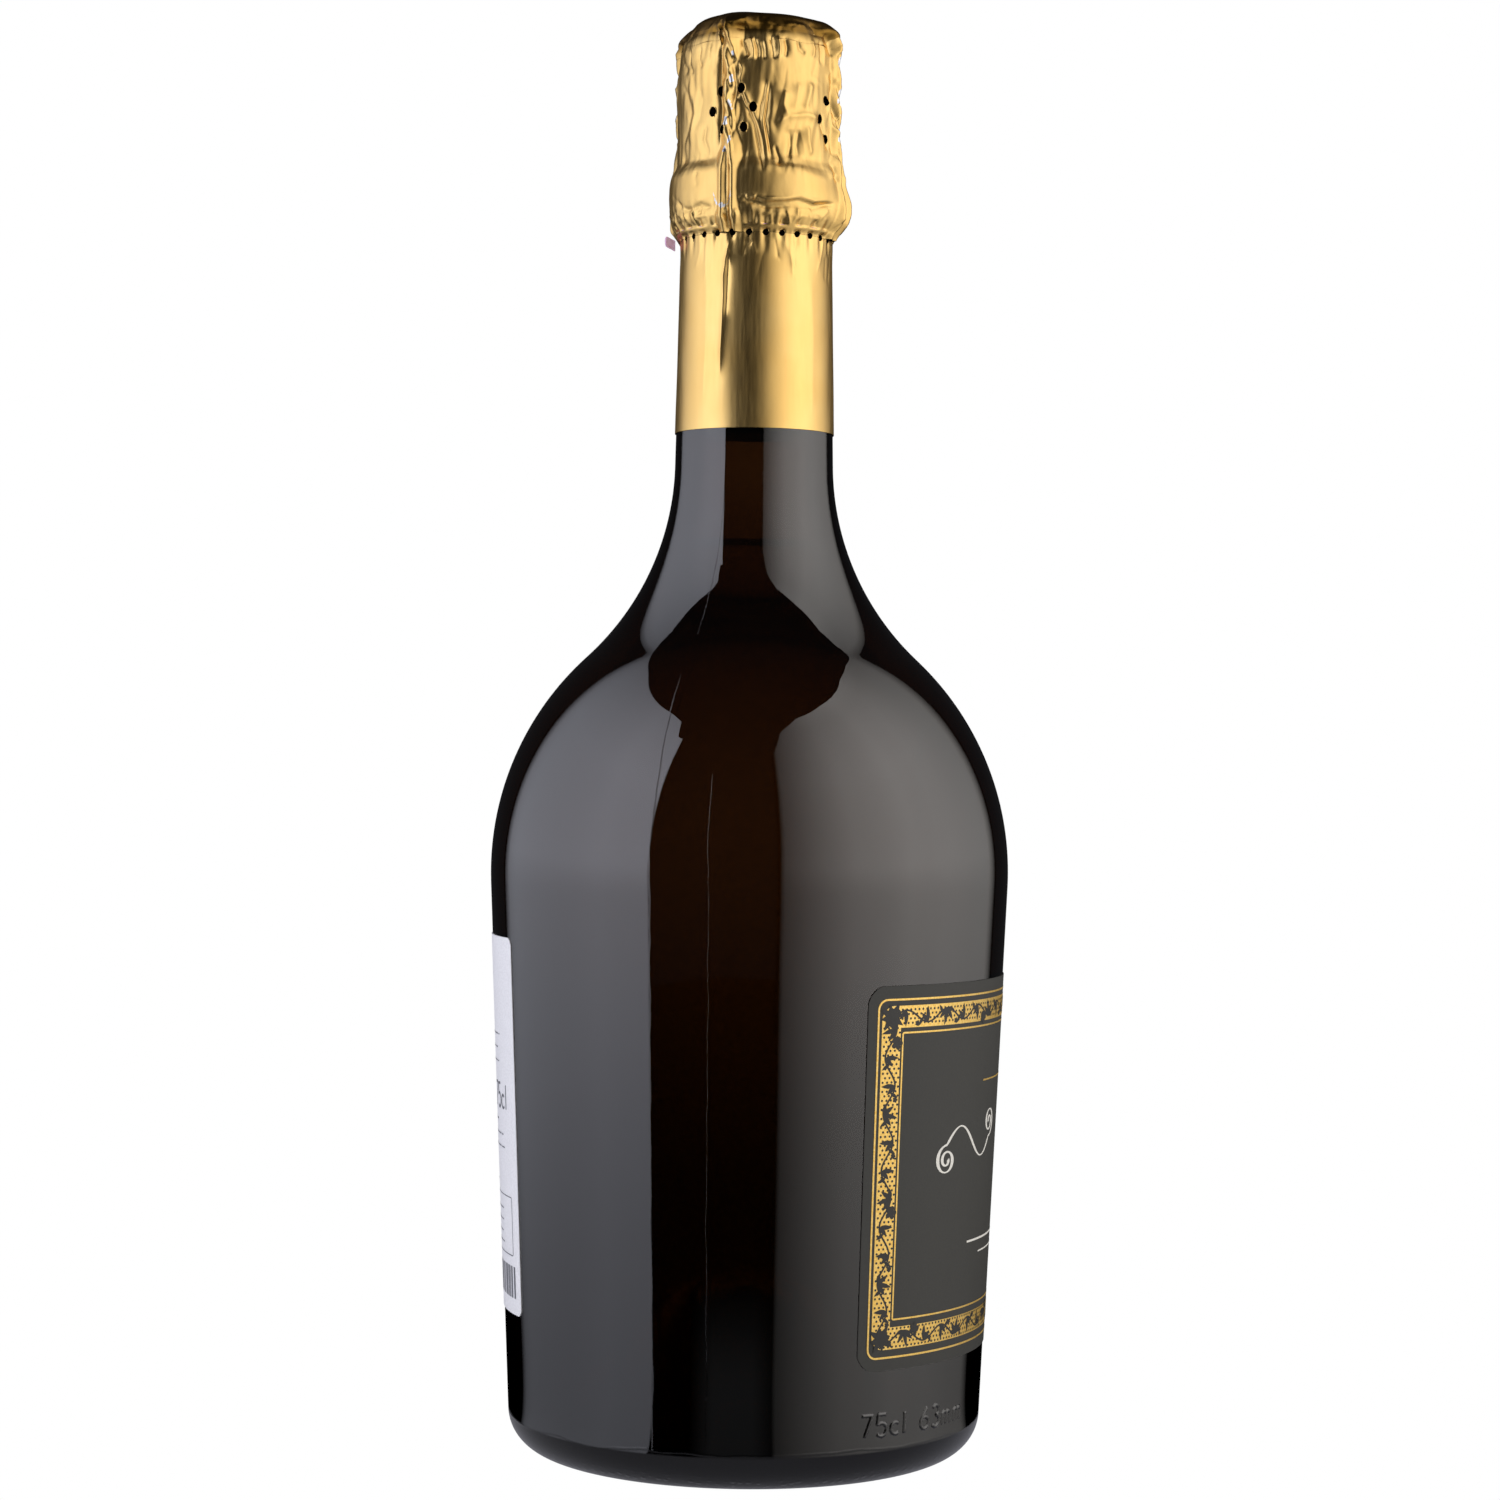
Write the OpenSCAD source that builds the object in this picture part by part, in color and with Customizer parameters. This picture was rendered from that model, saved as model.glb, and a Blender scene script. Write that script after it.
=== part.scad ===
// Sparkling wine bottle with its stopper, wire cage, foil capsule and two labels.
// Millimetres, +Z up, origin at the centre of the plane it stands on, front label towards -Y.
// Outlines are chains of rounded corners [radius from the axis, height, signed rounding]:
// a plus sign turns the outline left and a minus sign turns it right, walking up the wall.

/* [Glass body] */
// Radius of the body where the heel rounding ends
body_base_r = 45.5; // [42:0.1:47]
// Radius of the widest ring, under the shoulder
widest_r = 50; // [48:0.1:54]
// Height of the widest ring
widest_z = 111; // [106:0.5:120]
// Rounding of the heel
heel_r = 8; // [6:0.1:10]
// How deep the heel and foot roundings are cut by the standing plane
foot_cut = 0.3; // [0.2:0.05:0.6]
// Rounding of the shoulder
shoulder_arc = 56; // [50:0.5:60]
// Rounding from the shoulder into the neck
neck_arc = 52; // [46:0.5:60]
// Straight run between the two shoulder roundings
slope_run = 1; // [0.5:0.1:4]
// Thickness of the side wall
body_wall = 5.1; // [4:0.1:6]
// Rounding inside the heel
inner_heel_r = 4.2; // [3:0.1:9]
// Thickness of the glass under that rounding
heel_wall = 7; // [6:0.1:8.5]

/* [Punt] */
// Height of the hollow under the base
punt_depth = 30; // [20:0.5:34]
// Rounding at the top of the punt
punt_tip_r = 12; // [9:0.5:15]
// Glass over the top of the punt
punt_wall = 7.5; // [6:0.1:9]
// How far the foot rounding's middle lies outside the heel rounding's middle
foot_out = 0.7; // [0:0.1:1.1]
// Rounding of the foot on the punt side
foot_r = 2.6; // [2:0.1:3]

/* [Neck and finish] */
// Outer radius where the neck starts
neck_r = 15.3; // [15:0.05:16.5]
// Outer radius of the neck under the cage ring
neck_top_r = 14.4; // [13.9:0.05:14.6]
// Inner radius where the neck starts
neck_bore_r = 10.3; // [9.6:0.1:11]
// Rounding of the inner wall into the neck
inner_arc = 52; // [46:0.5:60]
// Underside of the cage ring
ring_z = 237; // [235:0.5:245]
// Height of the cage ring
ring_h = 8; // [7:0.1:9]
// Outer radius of the cage ring
ring_r = 16.2; // [15.9:0.05:16.4]
// Rounding of the cage ring's edges
ring_round = 1.2; // [0.8:0.1:2]
// Fillet between the neck and the cage ring
ring_fillet = 0.6; // [0.4:0.05:0.7]
// Radius of the groove between the cage ring and the lip
groove_r = 13.2; // [12.5:0.1:13.6]
// Fillets of the groove
groove_fillet = 1; // [0.6:0.1:1.4]
// Height of the groove
groove_h = 6.2; // [5:0.1:7]
// Height of the lip bead
bead_h = 7.2; // [6.5:0.1:8]
// Outer radius of the lip bead
bead_r = 14.2; // [13.9:0.05:14.35]
// Rounding at the bead's lower edge
bead_round = 1.2; // [0.8:0.1:2]
// Rounding at the bead's upper edge
lip_round = 2.2; // [1.5:0.1:2.8]
// Rounding at the mouth of the bore
mouth_round = 1; // [0.6:0.1:1.5]
// Radius of the straight bore that holds the stopper
bore_r = 8.75; // [8.5:0.05:9]
// Depth of the straight bore
bore_depth = 30; // [27:0.5:34]

/* [Wine] */
// Height of the liquid's surface
fill_z = 174.3; // [150:0.5:190]
// Gap left between the liquid and the glass
wine_gap = 0.1; // [0.05:0.01:0.2]

/* [Stopper] */
// Depth of the stopper in the bore
cork_in = 24.5; // [20:0.5:26]
// Running clearance of the stopper in the bore
cork_gap = 0.05; // [0.03:0.01:0.08]
// Thickness of each natural cork disc at the wine end
cork_disc_h = 6; // [4:0.5:8]
// Gap between the head and the glass lip
head_gap = 0.3; // [0.25:0.01:0.5]
// Height of the head above the lip
head_h = 14.7; // [14.4:0.1:15]
// Radius of the head at its widest
head_r = 14.3; // [13.8:0.05:14.4]
// Radius of the head near its top
head_top_r = 13.6; // [13.2:0.05:13.9]
// Rounding under the head
head_low_round = 3.2; // [2:0.1:4]
// Rounding at the top of the head
head_top_round = 5.5; // [4.5:0.1:6]

/* [Plaque] */
// Thickness of the metal cap under the wires
plaque_t = 0.3; // [0.2:0.05:0.35]
// Gap between the stopper and the cap
plaque_gap = 0.2; // [0.1:0.05:0.25]
// Radius of the cap
plaque_r = 12.6; // [12.2:0.1:12.9]
// Height of the cap's turned down rim
plaque_rim_h = 0.5; // [0.3:0.05:0.6]
// Width of the rim's slope
plaque_rim_w = 0.9; // [0.6:0.1:1.2]
// Radius of the raised middle
crown_r = 7.2; // [6:0.1:7.6]
// Height of the raised middle
crown_h = 0.45; // [0.2:0.05:0.5]
// Width of the slope round the raised middle
crown_w = 1; // [0.6:0.1:1.2]
// Radius of the four notches that the legs pass through
notch_r = 1.7; // [1.5:0.05:1.9]
// Radius from the axis to the middle of a notch
notch_at = 13; // [12.8:0.1:13.4]

/* [Wire cage] */
// Diameter of the wire
wire_d = 1; // [0.8:0.02:1.04]
// Distance of each strand from the middle of a twisted pair
twist_r = 0.6; // [0.56:0.01:0.64]
// Radius of the top loop
top_loop_r = 9.6; // [9.2:0.1:10]
// Gap between the cap and the top loop
loop_gap = 0.1; // [0.05:0.01:0.12]
// Bend of a leg over the edge of the stopper
leg_bend = 5; // [4.5:0.1:5.4]
// Radius of the legs' middle line beside the stopper
leg_r = 15.7; // [15.6:0.02:15.8]
// Radius of the legs' middle line over the glass ring
leg_low_r = 16.85; // [16.8:0.01:16.9]
// Rounding of the two bends between those radii
leg_kink = 8; // [5:0.5:10]
// Height above the glass ring at which a leg starts to lean out
leg_lean = 6.4; // [5.5:0.1:7]
// Half turns of a leg's two strands
leg_half_turns = 4; // [2:2:6]
// Length of each half turn
half_turn = 6.5; // [6:0.05:6.55]
// Length of leg before the twist starts
untwisted = 5; // [4.6:0.1:5.2]
// Distance of each strand from the middle in the open eye
eye_r = 1.1; // [1:0.02:1.14]
// Length over which the strands part into the eye
eye_run = 3; // [2:0.1:4]
// Gap between the belt wire and the eye bent round it
belt_gap = 0.15; // [0.1:0.01:0.2]
// Angle that each eye wraps round the belt wire
eye_wrap = 120; // [90:5:130]
// Bend from the top loop into a strand of a leg
loop_fillet = 1.5; // [1:0.1:1.8]
// Height of the belt wire's middle below the glass ring
belt_drop = 1; // [0.9:0.02:1.1]
// Direction of the first leg
leg_angle = 160; // [155:5:165]

/* [Twist key] */
// Direction of the key
key_angle = 25; // [20:5:30]
// Radius of the line the key folds about
key_axis_r = 16.95; // [16.9:0.01:17.05]
// Radius of the key's stem when folded up
key_stem_r = 17.9; // [17.85:0.01:18]
// Bend at the foot of the stem
key_bend = 0.9; // [0.6:0.05:0.92]
// Half turns of the stem
key_half_turns = 6; // [4:2:8]
// Length of each half turn of the stem
key_half_turn = 1.7; // [1.65:0.01:1.8]
// Length of the finger loop
key_loop_l = 9; // [7:0.1:9.5]
// Width of the finger loop, between wire middles
key_loop_w = 5.2; // [4:0.1:5.4]
// Distance from the key's middle to each end of its foot
key_foot = 2.4; // [2.3:0.05:2.6]
// Gap between the key and the belt wire's ends
key_gap = 0.3; // [0.2:0.05:0.4]
// Distance from the key's middle to where the belt wire leaves its circle
belt_leave = 5.6; // [5:0.1:6.5]
// Bend from the key's foot into its stem, seen from above
key_corner = 1.1; // [0.9:0.05:1.2]

/* [Foil capsule] */
// Thickness of the foil
foil_t = 0.15; // [0.1:0.01:0.18]
// Gap between the foil and the glass neck
foil_gap = 0.06; // [0.04:0.01:0.1]
// Slack between the foil and the wires that it wraps
foil_slack = 0.18; // [0.16:0.01:0.24]
// Lower edge of the skirt
skirt_z = 195.6; // [192:0.5:205]
// Height of the tear line
tear_z = 232.7; // [232.5:0.05:232.8]
// Gap between the skirt and the hood
tear_gap = 0.2; // [0.15:0.01:0.3]
// Number of holes along the tear line
tear_holes = 29; // [20:1:32]
// Radius of the holes along the tear line
tear_hole_r = 0.55; // [0.4:0.05:0.6]
// Direction of the first hole
tear_hole_angle = 174.3; // [170:0.1:180]
// Half angle of foil lifted by each leg
ridge_half = 40; // [30:1:44]
// The same at the top edge
ridge_half_top = 24; // [20:1:30]
// Half angle of foil held flat over the key
key_half = 11; // [11:1:12]
// Angle over which that foil falls back
key_fall = 14; // [12:1:18]
// Height over which the foil slopes in above the key
key_slope = 3; // [2:0.1:3.4]
// Height of the hem's slope
hem_rise = 1; // [0.8:0.1:1.1]
// Width of the hem's slope between the legs
hem_flare = 0.65; // [0.5:0.05:0.7]
// Depth of the hood's top edge under the top of the stopper
hood_drop = 1; // [0.8:0.1:1.4]
// How far the hood's top edge stands in from the stopper's side
hood_inset = 0.35; // [0.2:0.05:0.5]
// Depth of the top disc's upper bend
disc_bend = 0.9; // [0.7:0.1:1.1]
// How far the top disc's flat stands in from the hood's edge between the legs
disc_inset = 2.2; // [1.8:0.1:2.6]
// The same at a leg
disc_leg_inset = 1.6; // [1.4:0.05:1.8]
// Depth of the top disc's rim over the hood
disc_lap = 2.3; // [2:0.1:2.6]
// Gap between the disc's rim and the hood
disc_gap = 0.2; // [0.16:0.01:0.24]
// Height of the foil's top above the wires
top_gap = 0.1; // [0.08:0.01:0.15]
// Width of the tear tape
tape_w = 1.3; // [1:0.05:1.4]
// Thickness of the tear tape
tape_t = 0.1; // [0.05:0.01:0.12]
// Gap between the tear tape and the hood
tape_gap = 0.12; // [0.08:0.01:0.15]
// Direction of the pull tab's root
tab_angle = 75; // [70:5:80]
// Length of the pull tab
tab_l = 6.5; // [5:0.5:9]
// Height of the pull tab
tab_h = 2; // [1.6:0.1:2.2]
// Thickness of the pull tab
tab_t = 0.2; // [0.15:0.01:0.3]
// Gap between the pull tab and the foil
tab_gap = 0.25; // [0.2:0.01:0.4]

/* [Labels] */
// Thickness of the label paper
label_t = 0.14; // [0.08:0.01:0.2]
// Thickness of the glue line
glue_gap = 0.05; // [0.04:0.01:0.08]
// Width of the front label round the glass
front_w = 106; // [80:1:120]
// Height of the front label
front_h = 70.4; // [60:0.5:74]
// Lower edge of the front label
front_z = 21.6; // [18:0.5:24]
// Corner rounding of the front label
front_corner = 4; // [1:0.5:8]
// Direction of the front label's middle
front_angle = 270; // [260:1:280]
// Width of the back label round the glass
back_w = 50; // [40:1:60]
// Height of the back label
back_h = 71.3; // [60:0.5:74]
// Lower edge of the back label
back_z = 27.4; // [24:0.5:29]
// Corner rounding of the back label
back_corner = 2; // [1:0.5:6]
// Direction of the back label's middle
back_angle = 86; // [80:1:95]

/* [Hidden] */
// Overrun of every cut
over = 1;
// How far a label corner's arc crosses the label's edges, so that it doesn't only touch them
corner_cross = 0.1;
// Largest turn between two points of a rounding
arc_step = 5;
// Facets of the lobed foil, of a wire's section and of one half turn of a twist
foil_cols = 72;
wire_sides = 8;
half_turn_rings = 4;
key_turn_rings = 4;
// Facets of true circles
$fn = 64;

// Outlines

function unit(a) = [cos(a), sin(a)];

// Direction of the outward normal of the line that touches two corners
function normal_to(a, b) = let (d = [b[0] - a[0], b[1] - a[1]])
    atan2(d[1], d[0]) - acos(max(-1, min(1, (a[2] - b[2]) / norm(d))));

// Shortest signed turn from one direction to another
function turn(a, b) = (b - a + 540 + 360) % 360 - 180;

function corner_points(c, a, b) = c[2] == 0 ? [[c[0], c[1]]] :
    let (sweep = turn(a, b), n = max(1, ceil(abs(sweep) / arc_step)))
    [for (i = [0:n]) [c[0], c[1]] + c[2] * unit(a + sweep * i / n)];

function outline(c, first = -90, last = 90) = [for (i = [0:len(c) - 1])
    each corner_points(c[i],
        i == 0 ? first : normal_to(c[i - 1], c[i]),
        i == len(c) - 1 ? last : normal_to(c[i], c[i + 1]))];

// Glass, worked out from its sizes

heel_c = [body_base_r - heel_r, heel_r - foot_cut];
foot_mid_r = heel_c[0] + foot_out;
shoulder_c = [widest_r - shoulder_arc, widest_z];

// Rise from the shoulder's middle to the neck's, for two roundings and the run between them
function rise(sum, in) = sqrt(pow(sum, 2) + pow(slope_run, 2) - pow(sum - in, 2));

neck_z = widest_z + rise(shoulder_arc + neck_arc, widest_r - neck_r);
inner_shoulder = shoulder_arc - body_wall;
inner_neck_z = widest_z + rise(inner_shoulder + inner_arc, widest_r - body_wall - neck_bore_r);
ring_top_z = ring_z + ring_h;
bead_z = ring_top_z + groove_h;
lip_z = bead_z + bead_h;
dome_z = punt_depth - punt_tip_r;

// Direction in which the punt's side faces the wine, and its distance from the origin
punt_side = unit(normal_to([foot_mid_r, foot_r - foot_cut, -foot_r], [0, dome_z, punt_tip_r]));
punt_side_reach = punt_side * [0, dome_z] + punt_tip_r;

// The rounding inside the heel leaves at least the foot's rounding of glass beside the punt
inner_heel_round = min(inner_heel_r,
    (punt_side * [body_base_r - body_wall, heel_wall] - punt_side_reach - foot_r)
        / (1 + punt_side[0] - punt_side[1]));
inner_heel_c = [body_base_r - body_wall - inner_heel_round, heel_wall + inner_heel_round];

// Outer wall up to the cage ring, grown by a distance
function wall_corners(grow) = [
    [0, -foot_cut - grow, 0],
    [heel_c[0], heel_c[1], heel_r + grow],
    [shoulder_c[0], shoulder_c[1], shoulder_arc + grow],
    [neck_r + neck_arc, neck_z, grow - neck_arc],
    [neck_top_r + ring_fillet, ring_z - ring_fillet, grow - ring_fillet]];

finish_corners = [
    [ring_r - ring_round, ring_z + ring_round, ring_round],
    [ring_r - ring_round, ring_top_z - ring_round, ring_round],
    [groove_r + groove_fillet, ring_top_z + groove_fillet, -groove_fillet],
    [groove_r + groove_fillet, bead_z - groove_fillet, -groove_fillet],
    [bead_r - bead_round, bead_z + bead_round, bead_round],
    [bead_r - lip_round, lip_z - lip_round, lip_round],
    [0, lip_z, 0]];

// Inner wall up to the bore, shrunk by a distance
function inner_corners(shrink) = [
    [0, dome_z, -punt_tip_r - punt_wall - shrink],
    [inner_heel_c[0], inner_heel_c[1], inner_heel_round - shrink],
    [shoulder_c[0], shoulder_c[1], inner_shoulder - shrink],
    [neck_bore_r + inner_arc, inner_neck_z, -inner_arc - shrink],
    [bore_r - shrink, lip_z - bore_depth, 0]];

mouth_corners = [
    [bore_r + mouth_round, lip_z - mouth_round, -mouth_round],
    [bore_r + mouth_round + over, lip_z, 0],
    [bore_r + mouth_round + over, lip_z + over, 0],
    [0, lip_z + over, 0]];

punt_corners = [
    [0, -foot_cut - over, 0],
    [foot_mid_r + over, -foot_cut - over, 0],
    [foot_mid_r + over, -foot_cut, 0],
    [foot_mid_r, foot_r - foot_cut, -foot_r],
    [0, dome_z, punt_tip_r]];

module below_plane() {
    translate([0, -foot_cut - over]) square([widest_r, foot_cut + over]);
}

module bottle() {
    color([0.06, 0.05, 0.03]) rotate_extrude() difference() {
        polygon(outline(concat(wall_corners(0), finish_corners)));
        polygon(outline(concat(inner_corners(0), mouth_corners)));
        polygon(outline(punt_corners));
        below_plane();
    }
}

module wine() {
    color([0.75, 0.6, 0.2]) rotate_extrude() intersection() {
        polygon(outline(concat(inner_corners(wine_gap), [[0, lip_z - bore_depth, 0]])));
        square([widest_r, fill_z]);
    }
}

// Stopper

cork_r = bore_r - cork_gap;
cork_z = lip_z - cork_in;
head_z = lip_z + head_gap;
head_top_z = head_z + head_h;

module cork_slice(z) {
    translate([0, 0, z]) cylinder(r = cork_r, h = cork_disc_h);
}

module cork_disc_lower() {
    color([0.85, 0.66, 0.42]) cork_slice(cork_z);
}

module cork_disc_upper() {
    color([0.8, 0.6, 0.38]) cork_slice(cork_z + cork_disc_h);
}

module cork_body() {
    body_z = cork_z + 2 * cork_disc_h;
    color([0.78, 0.58, 0.36]) rotate_extrude() polygon(outline([
        [0, body_z, 0],
        [cork_r, body_z, 0],
        [cork_r + mouth_round, head_z - mouth_round, -mouth_round],
        [head_r - head_low_round, head_z + head_low_round, head_low_round],
        [head_top_r - head_top_round, head_top_z - head_top_round, head_top_round],
        [0, head_top_z, 0]]));
}

// Metal cap under the wires

plaque_z = head_top_z + plaque_gap;
plaque_top_z = plaque_z + plaque_t;

module plaque() {
    low = [[0, crown_h], [crown_r, crown_h], [crown_r + crown_w, 0],
        [plaque_r - plaque_rim_w, 0], [plaque_r, -plaque_rim_h]];
    high = [for (i = [len(low) - 1:-1:0]) low[i] + [0, plaque_t]];
    color([0.72, 0.6, 0.3]) difference() {
        translate([0, 0, plaque_z]) rotate_extrude() polygon(concat(low, high));
        for (leg = [0:3]) rotate([0, 0, leg_angle + 90 * leg])
            translate([notch_at, 0, plaque_z - plaque_rim_h - over])
                cylinder(r = notch_r, h = plaque_rim_h + plaque_t + 2 * over);
    }
}

// Rings of points joined into one closed skin

module ringed(rings, closed) {
    n = len(rings);
    m = len(rings[0]);
    at = function (i, j) (i % n) * m + j % m;
    sides = [for (i = [0:n - (closed ? 1 : 2)]) for (j = [0:m - 1]) each [
        [at(i, j), at(i + 1, j), at(i + 1, j + 1)],
        [at(i, j), at(i + 1, j + 1), at(i, j + 1)]]];
    caps = closed ? [] : [[for (j = [0:m - 1]) j], [for (j = [m - 1:-1:0]) (n - 1) * m + j]];
    polyhedron([for (r = rings) each r], concat(sides, caps), convexity = 10);
}

// Wires: a route is a list of points, and frames are carried along it without a twist

function way(v) = v / norm(v);
function heading(p, i) = way(p[min(i + 1, len(p) - 1)] - p[max(i - 1, 0)]);
function square_to(u, t) = way(u - t * (u * t));
function frames(p, u0) = [for (i = 0, u = square_to(u0, heading(p, 0)); i < len(p);
    i = i + 1, u = i < len(p) ? square_to(u, heading(p, i)) : u) u];

function section(p, t, u, spin) = let (v = cross(t, u)) [for (j = [0:wire_sides - 1])
    let (a = spin + 360 * j / wire_sides) p + wire_d / 2 * (cos(a) * u + sin(a) * v)];

function spun(p, a) = [p[0] * cos(a) - p[1] * sin(a), p[0] * sin(a) + p[1] * cos(a), p[2]];

// Guide of a leg in the plane of the axis: over the cap, down the stopper, out over the
// glass ring and in round the belt wire

wire_r = wire_d / 2;
loop_z = plaque_top_z + loop_gap + wire_r;
eye_bend = wire_d + belt_gap;
belt_r = leg_low_r - eye_bend;
belt_z = ring_z - belt_drop;

leg_guide = outline([
    [top_loop_r, loop_z, 0],
    [leg_r - leg_bend, loop_z - leg_bend, -leg_bend],
    [leg_r + leg_kink, ring_top_z + leg_lean, leg_kink],
    [leg_low_r - leg_kink, ring_top_z, -leg_kink],
    [belt_r, belt_z, -eye_bend]], -90, -180 - eye_wrap);

key_guide = outline([
    [key_axis_r, belt_z, 0],
    [key_stem_r - key_bend, belt_z + key_bend, key_bend],
    [key_stem_r, belt_z + key_bend + key_half_turns * key_half_turn + key_loop_l, 0]], -90, 0);

// Distance run at each point of a guide, and the place and normal at any distance
function runs(g) = [for (i = 0, s = 0; i < len(g);
    i = i + 1, s = i < len(g) ? s + norm(g[i] - g[i - 1]) : s) s];
function table(g, s, k) = [for (i = [0:len(g) - 1]) [s[i], g[i][k]]];
function place(tr, tz, s) = [lookup(s, tr), lookup(s, tz)];
function out_normal(tr, tz, s, way_out) = let (
    d = place(tr, tz, s + wire_r) - place(tr, tz, s - wire_r)) way_out * [-d[1], d[0]] / norm(d);

leg_runs = runs(leg_guide);
leg_tr = table(leg_guide, leg_runs, 0);
leg_tz = table(leg_guide, leg_runs, 1);
leg_end = leg_runs[len(leg_runs) - 1];
key_runs = runs(key_guide);
key_tr = table(key_guide, key_runs, 0);
key_tz = table(key_guide, key_runs, 1);

// A strand's point at a distance along the guide, moved sideways and outwards
function strand(tr, tz, s, side, out, way_out = 1) = let (p = place(tr, tz, s),
    q = p + out * out_normal(tr, tz, s, way_out)) [q[0], side, q[1]];

twist_end = untwisted + leg_half_turns * half_turn;
eye_start = leg_end - eye_r;
bend_rings = 3;
straight_rings = 4;
hook_rings = 4;
eye_rings = 5;

loop_bend_rings = 3;
loop_rings = 4;

function leg_side(s) = s < twist_end ? twist_r :
    twist_r + (eye_r - twist_r) * min(1, (s - twist_end) / eye_run);

function leg_twist(s) = 180 * min(leg_half_turns, max(0, (s - untwisted) / half_turn));

function leg_point(s) = let (a = leg_twist(s), w = leg_side(s))
    strand(leg_tr, leg_tz, s, -w * cos(a), s < twist_end ? w * sin(a) : 0);

hook_at = leg_runs[len(leg_runs) - 1] - eye_bend * eye_wrap * PI / 180;
leg_steps = concat(
    [for (i = [0:bend_rings - 1]) loop_fillet + (untwisted - loop_fillet) * i / bend_rings],
    [for (i = [0:leg_half_turns * half_turn_rings]) untwisted + half_turn * i / half_turn_rings],
    [for (i = [1:straight_rings]) twist_end + (hook_at - twist_end) * i / straight_rings],
    [for (i = [1:hook_rings - 1]) hook_at + (eye_start - hook_at) * i / hook_rings]);

loop_meet = asin((twist_r + loop_fillet) / top_loop_r);
loop_arc = [for (i = [0:loop_rings]) let (a = -45 + (45 - loop_meet) * i / loop_rings)
    [top_loop_r * cos(a), top_loop_r * sin(a), loop_z]];
loop_bend = [for (i = [1:loop_bend_rings]) let (a = 90 * i / (loop_bend_rings + 1))
    [top_loop_r + loop_fillet * (1 - cos(a)), -twist_r - loop_fillet * (1 - sin(a)), loop_z]];

eye_first = [for (i = [0:eye_rings - 1]) let (a = 90 * i / eye_rings)
    strand(leg_tr, leg_tz, eye_start + eye_r * sin(a), -eye_r * cos(a), 0)];
eye_tip = [strand(leg_tr, leg_tz, leg_end, 0, 0)];

half_leg = concat(loop_arc, loop_bend, [for (s = leg_steps) leg_point(s)], eye_first);

// The other strand is the first turned half round the guide
function other_side(s) = let (a = leg_twist(s), w = leg_side(s))
    strand(leg_tr, leg_tz, s, w * cos(a), s < twist_end ? -w * sin(a) : 0);
function flipped(p) = [for (q = p) [q[0], -q[1], q[2]]];
function backward(p) = [for (i = [len(p) - 1:-1:0]) p[i]];
other_leg = concat(flipped(loop_arc), flipped(loop_bend),
    [for (s = leg_steps) other_side(s)], flipped(eye_first));

quarter = concat(half_leg, eye_tip, backward(other_leg));

module cage_wire() {
    // The last point of a quarter is the first point of the next one
    n = len(quarter) - 1;
    route = [for (i = [-1:n + 1]) i < 0 ? spun(quarter[n - 1], -90) :
        i > n ? spun(quarter[1], 90) : quarter[i]];
    carried = frames(route, [0, 0, 1]);
    // Roll that brings the carried frame back to upright at the quarter's end
    t_end = heading(route, n + 1);
    u_end = carried[n + 1];
    up = square_to([0, 0, 1], t_end);
    roll = atan2(up * cross(t_end, u_end), up * u_end);
    part = [for (i = [1:n]) section(route[i], heading(route, i), carried[i], roll * (i - 1) / n)];
    color([0.75, 0.76, 0.78]) ringed([for (leg = [0:3]) for (r = part)
        [for (p = r) spun(p, leg_angle + 90 * leg)]], true);
}

// Belt wire under the glass ring, with its ends bent out to the key

belt_steps = 36;

module belt_wire() {
    leave = asin(belt_leave / belt_r);
    foot = key_foot + key_gap;
    out = [[key_axis_r, foot, belt_z], [key_axis_r, foot + wire_d, belt_z]];
    round_neck = [for (i = [0:belt_steps]) let (a = leave + (360 - 2 * leave) * i / belt_steps)
        [belt_r * cos(a), belt_r * sin(a), belt_z]];
    route = concat(out, round_neck, flipped(backward(out)));
    color([0.72, 0.73, 0.75]) rotate([0, 0, key_angle]) ringed(
        [for (i = [0:len(route) - 1]) section(route[i], heading(route, i), [0, 0, 1], 0)], false);
}

// Twist key: two strands twisted into a stem that ends in a finger loop

key_twist_from = key_corner + key_bend * PI / 4;
key_twist_to = key_twist_from + key_half_turns * key_half_turn;

function key_point(s, hand) = let (
    a = 180 * max(0, (s - key_twist_from) / key_half_turn),
    p = strand(key_tr, key_tz, s, -hand * twist_r * cos(a), hand * twist_r * sin(a), -1)) p;

module twist_key() {
    steps = [for (i = [0:key_half_turns * key_turn_rings])
        key_twist_from + key_half_turn * i / key_turn_rings];
    foot = [for (i = [0:3]) let (a = 30 * i) [
        key_axis_r + key_corner * (1 - cos(a)),
        -twist_r - key_corner * (1 - sin(a)), belt_z]];
    half_w = key_loop_w / 2;
    open_at = asin(twist_r / half_w);
    loop = [for (i = [1:7]) let (a = open_at + (180 - open_at) * i / 7)
        strand(key_tr, key_tz, key_twist_to + key_loop_l / 2 * (cos(open_at) - cos(a)),
            -half_w * sin(a), 0)];
    first = concat([[key_axis_r, -key_foot, belt_z]], foot,
        [for (s = steps) key_point(s, 1)], [for (i = [0:5]) loop[i]]);
    second = concat([[key_axis_r, key_foot, belt_z]], flipped(foot),
        [for (s = steps) key_point(s, -1)], flipped([for (i = [0:5]) loop[i]]));
    route = concat(first, [loop[6]], backward(second));
    carried = frames(route, [0, 0, 1]);
    color([0.78, 0.79, 0.8]) rotate([0, 0, key_angle]) ringed([for (i = [0:len(route) - 1])
        section(route[i], heading(route, i), carried[i], 0)], false);
}

// Foil over the wires: rows of [height, radius between legs, at a leg, over the key]

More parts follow.
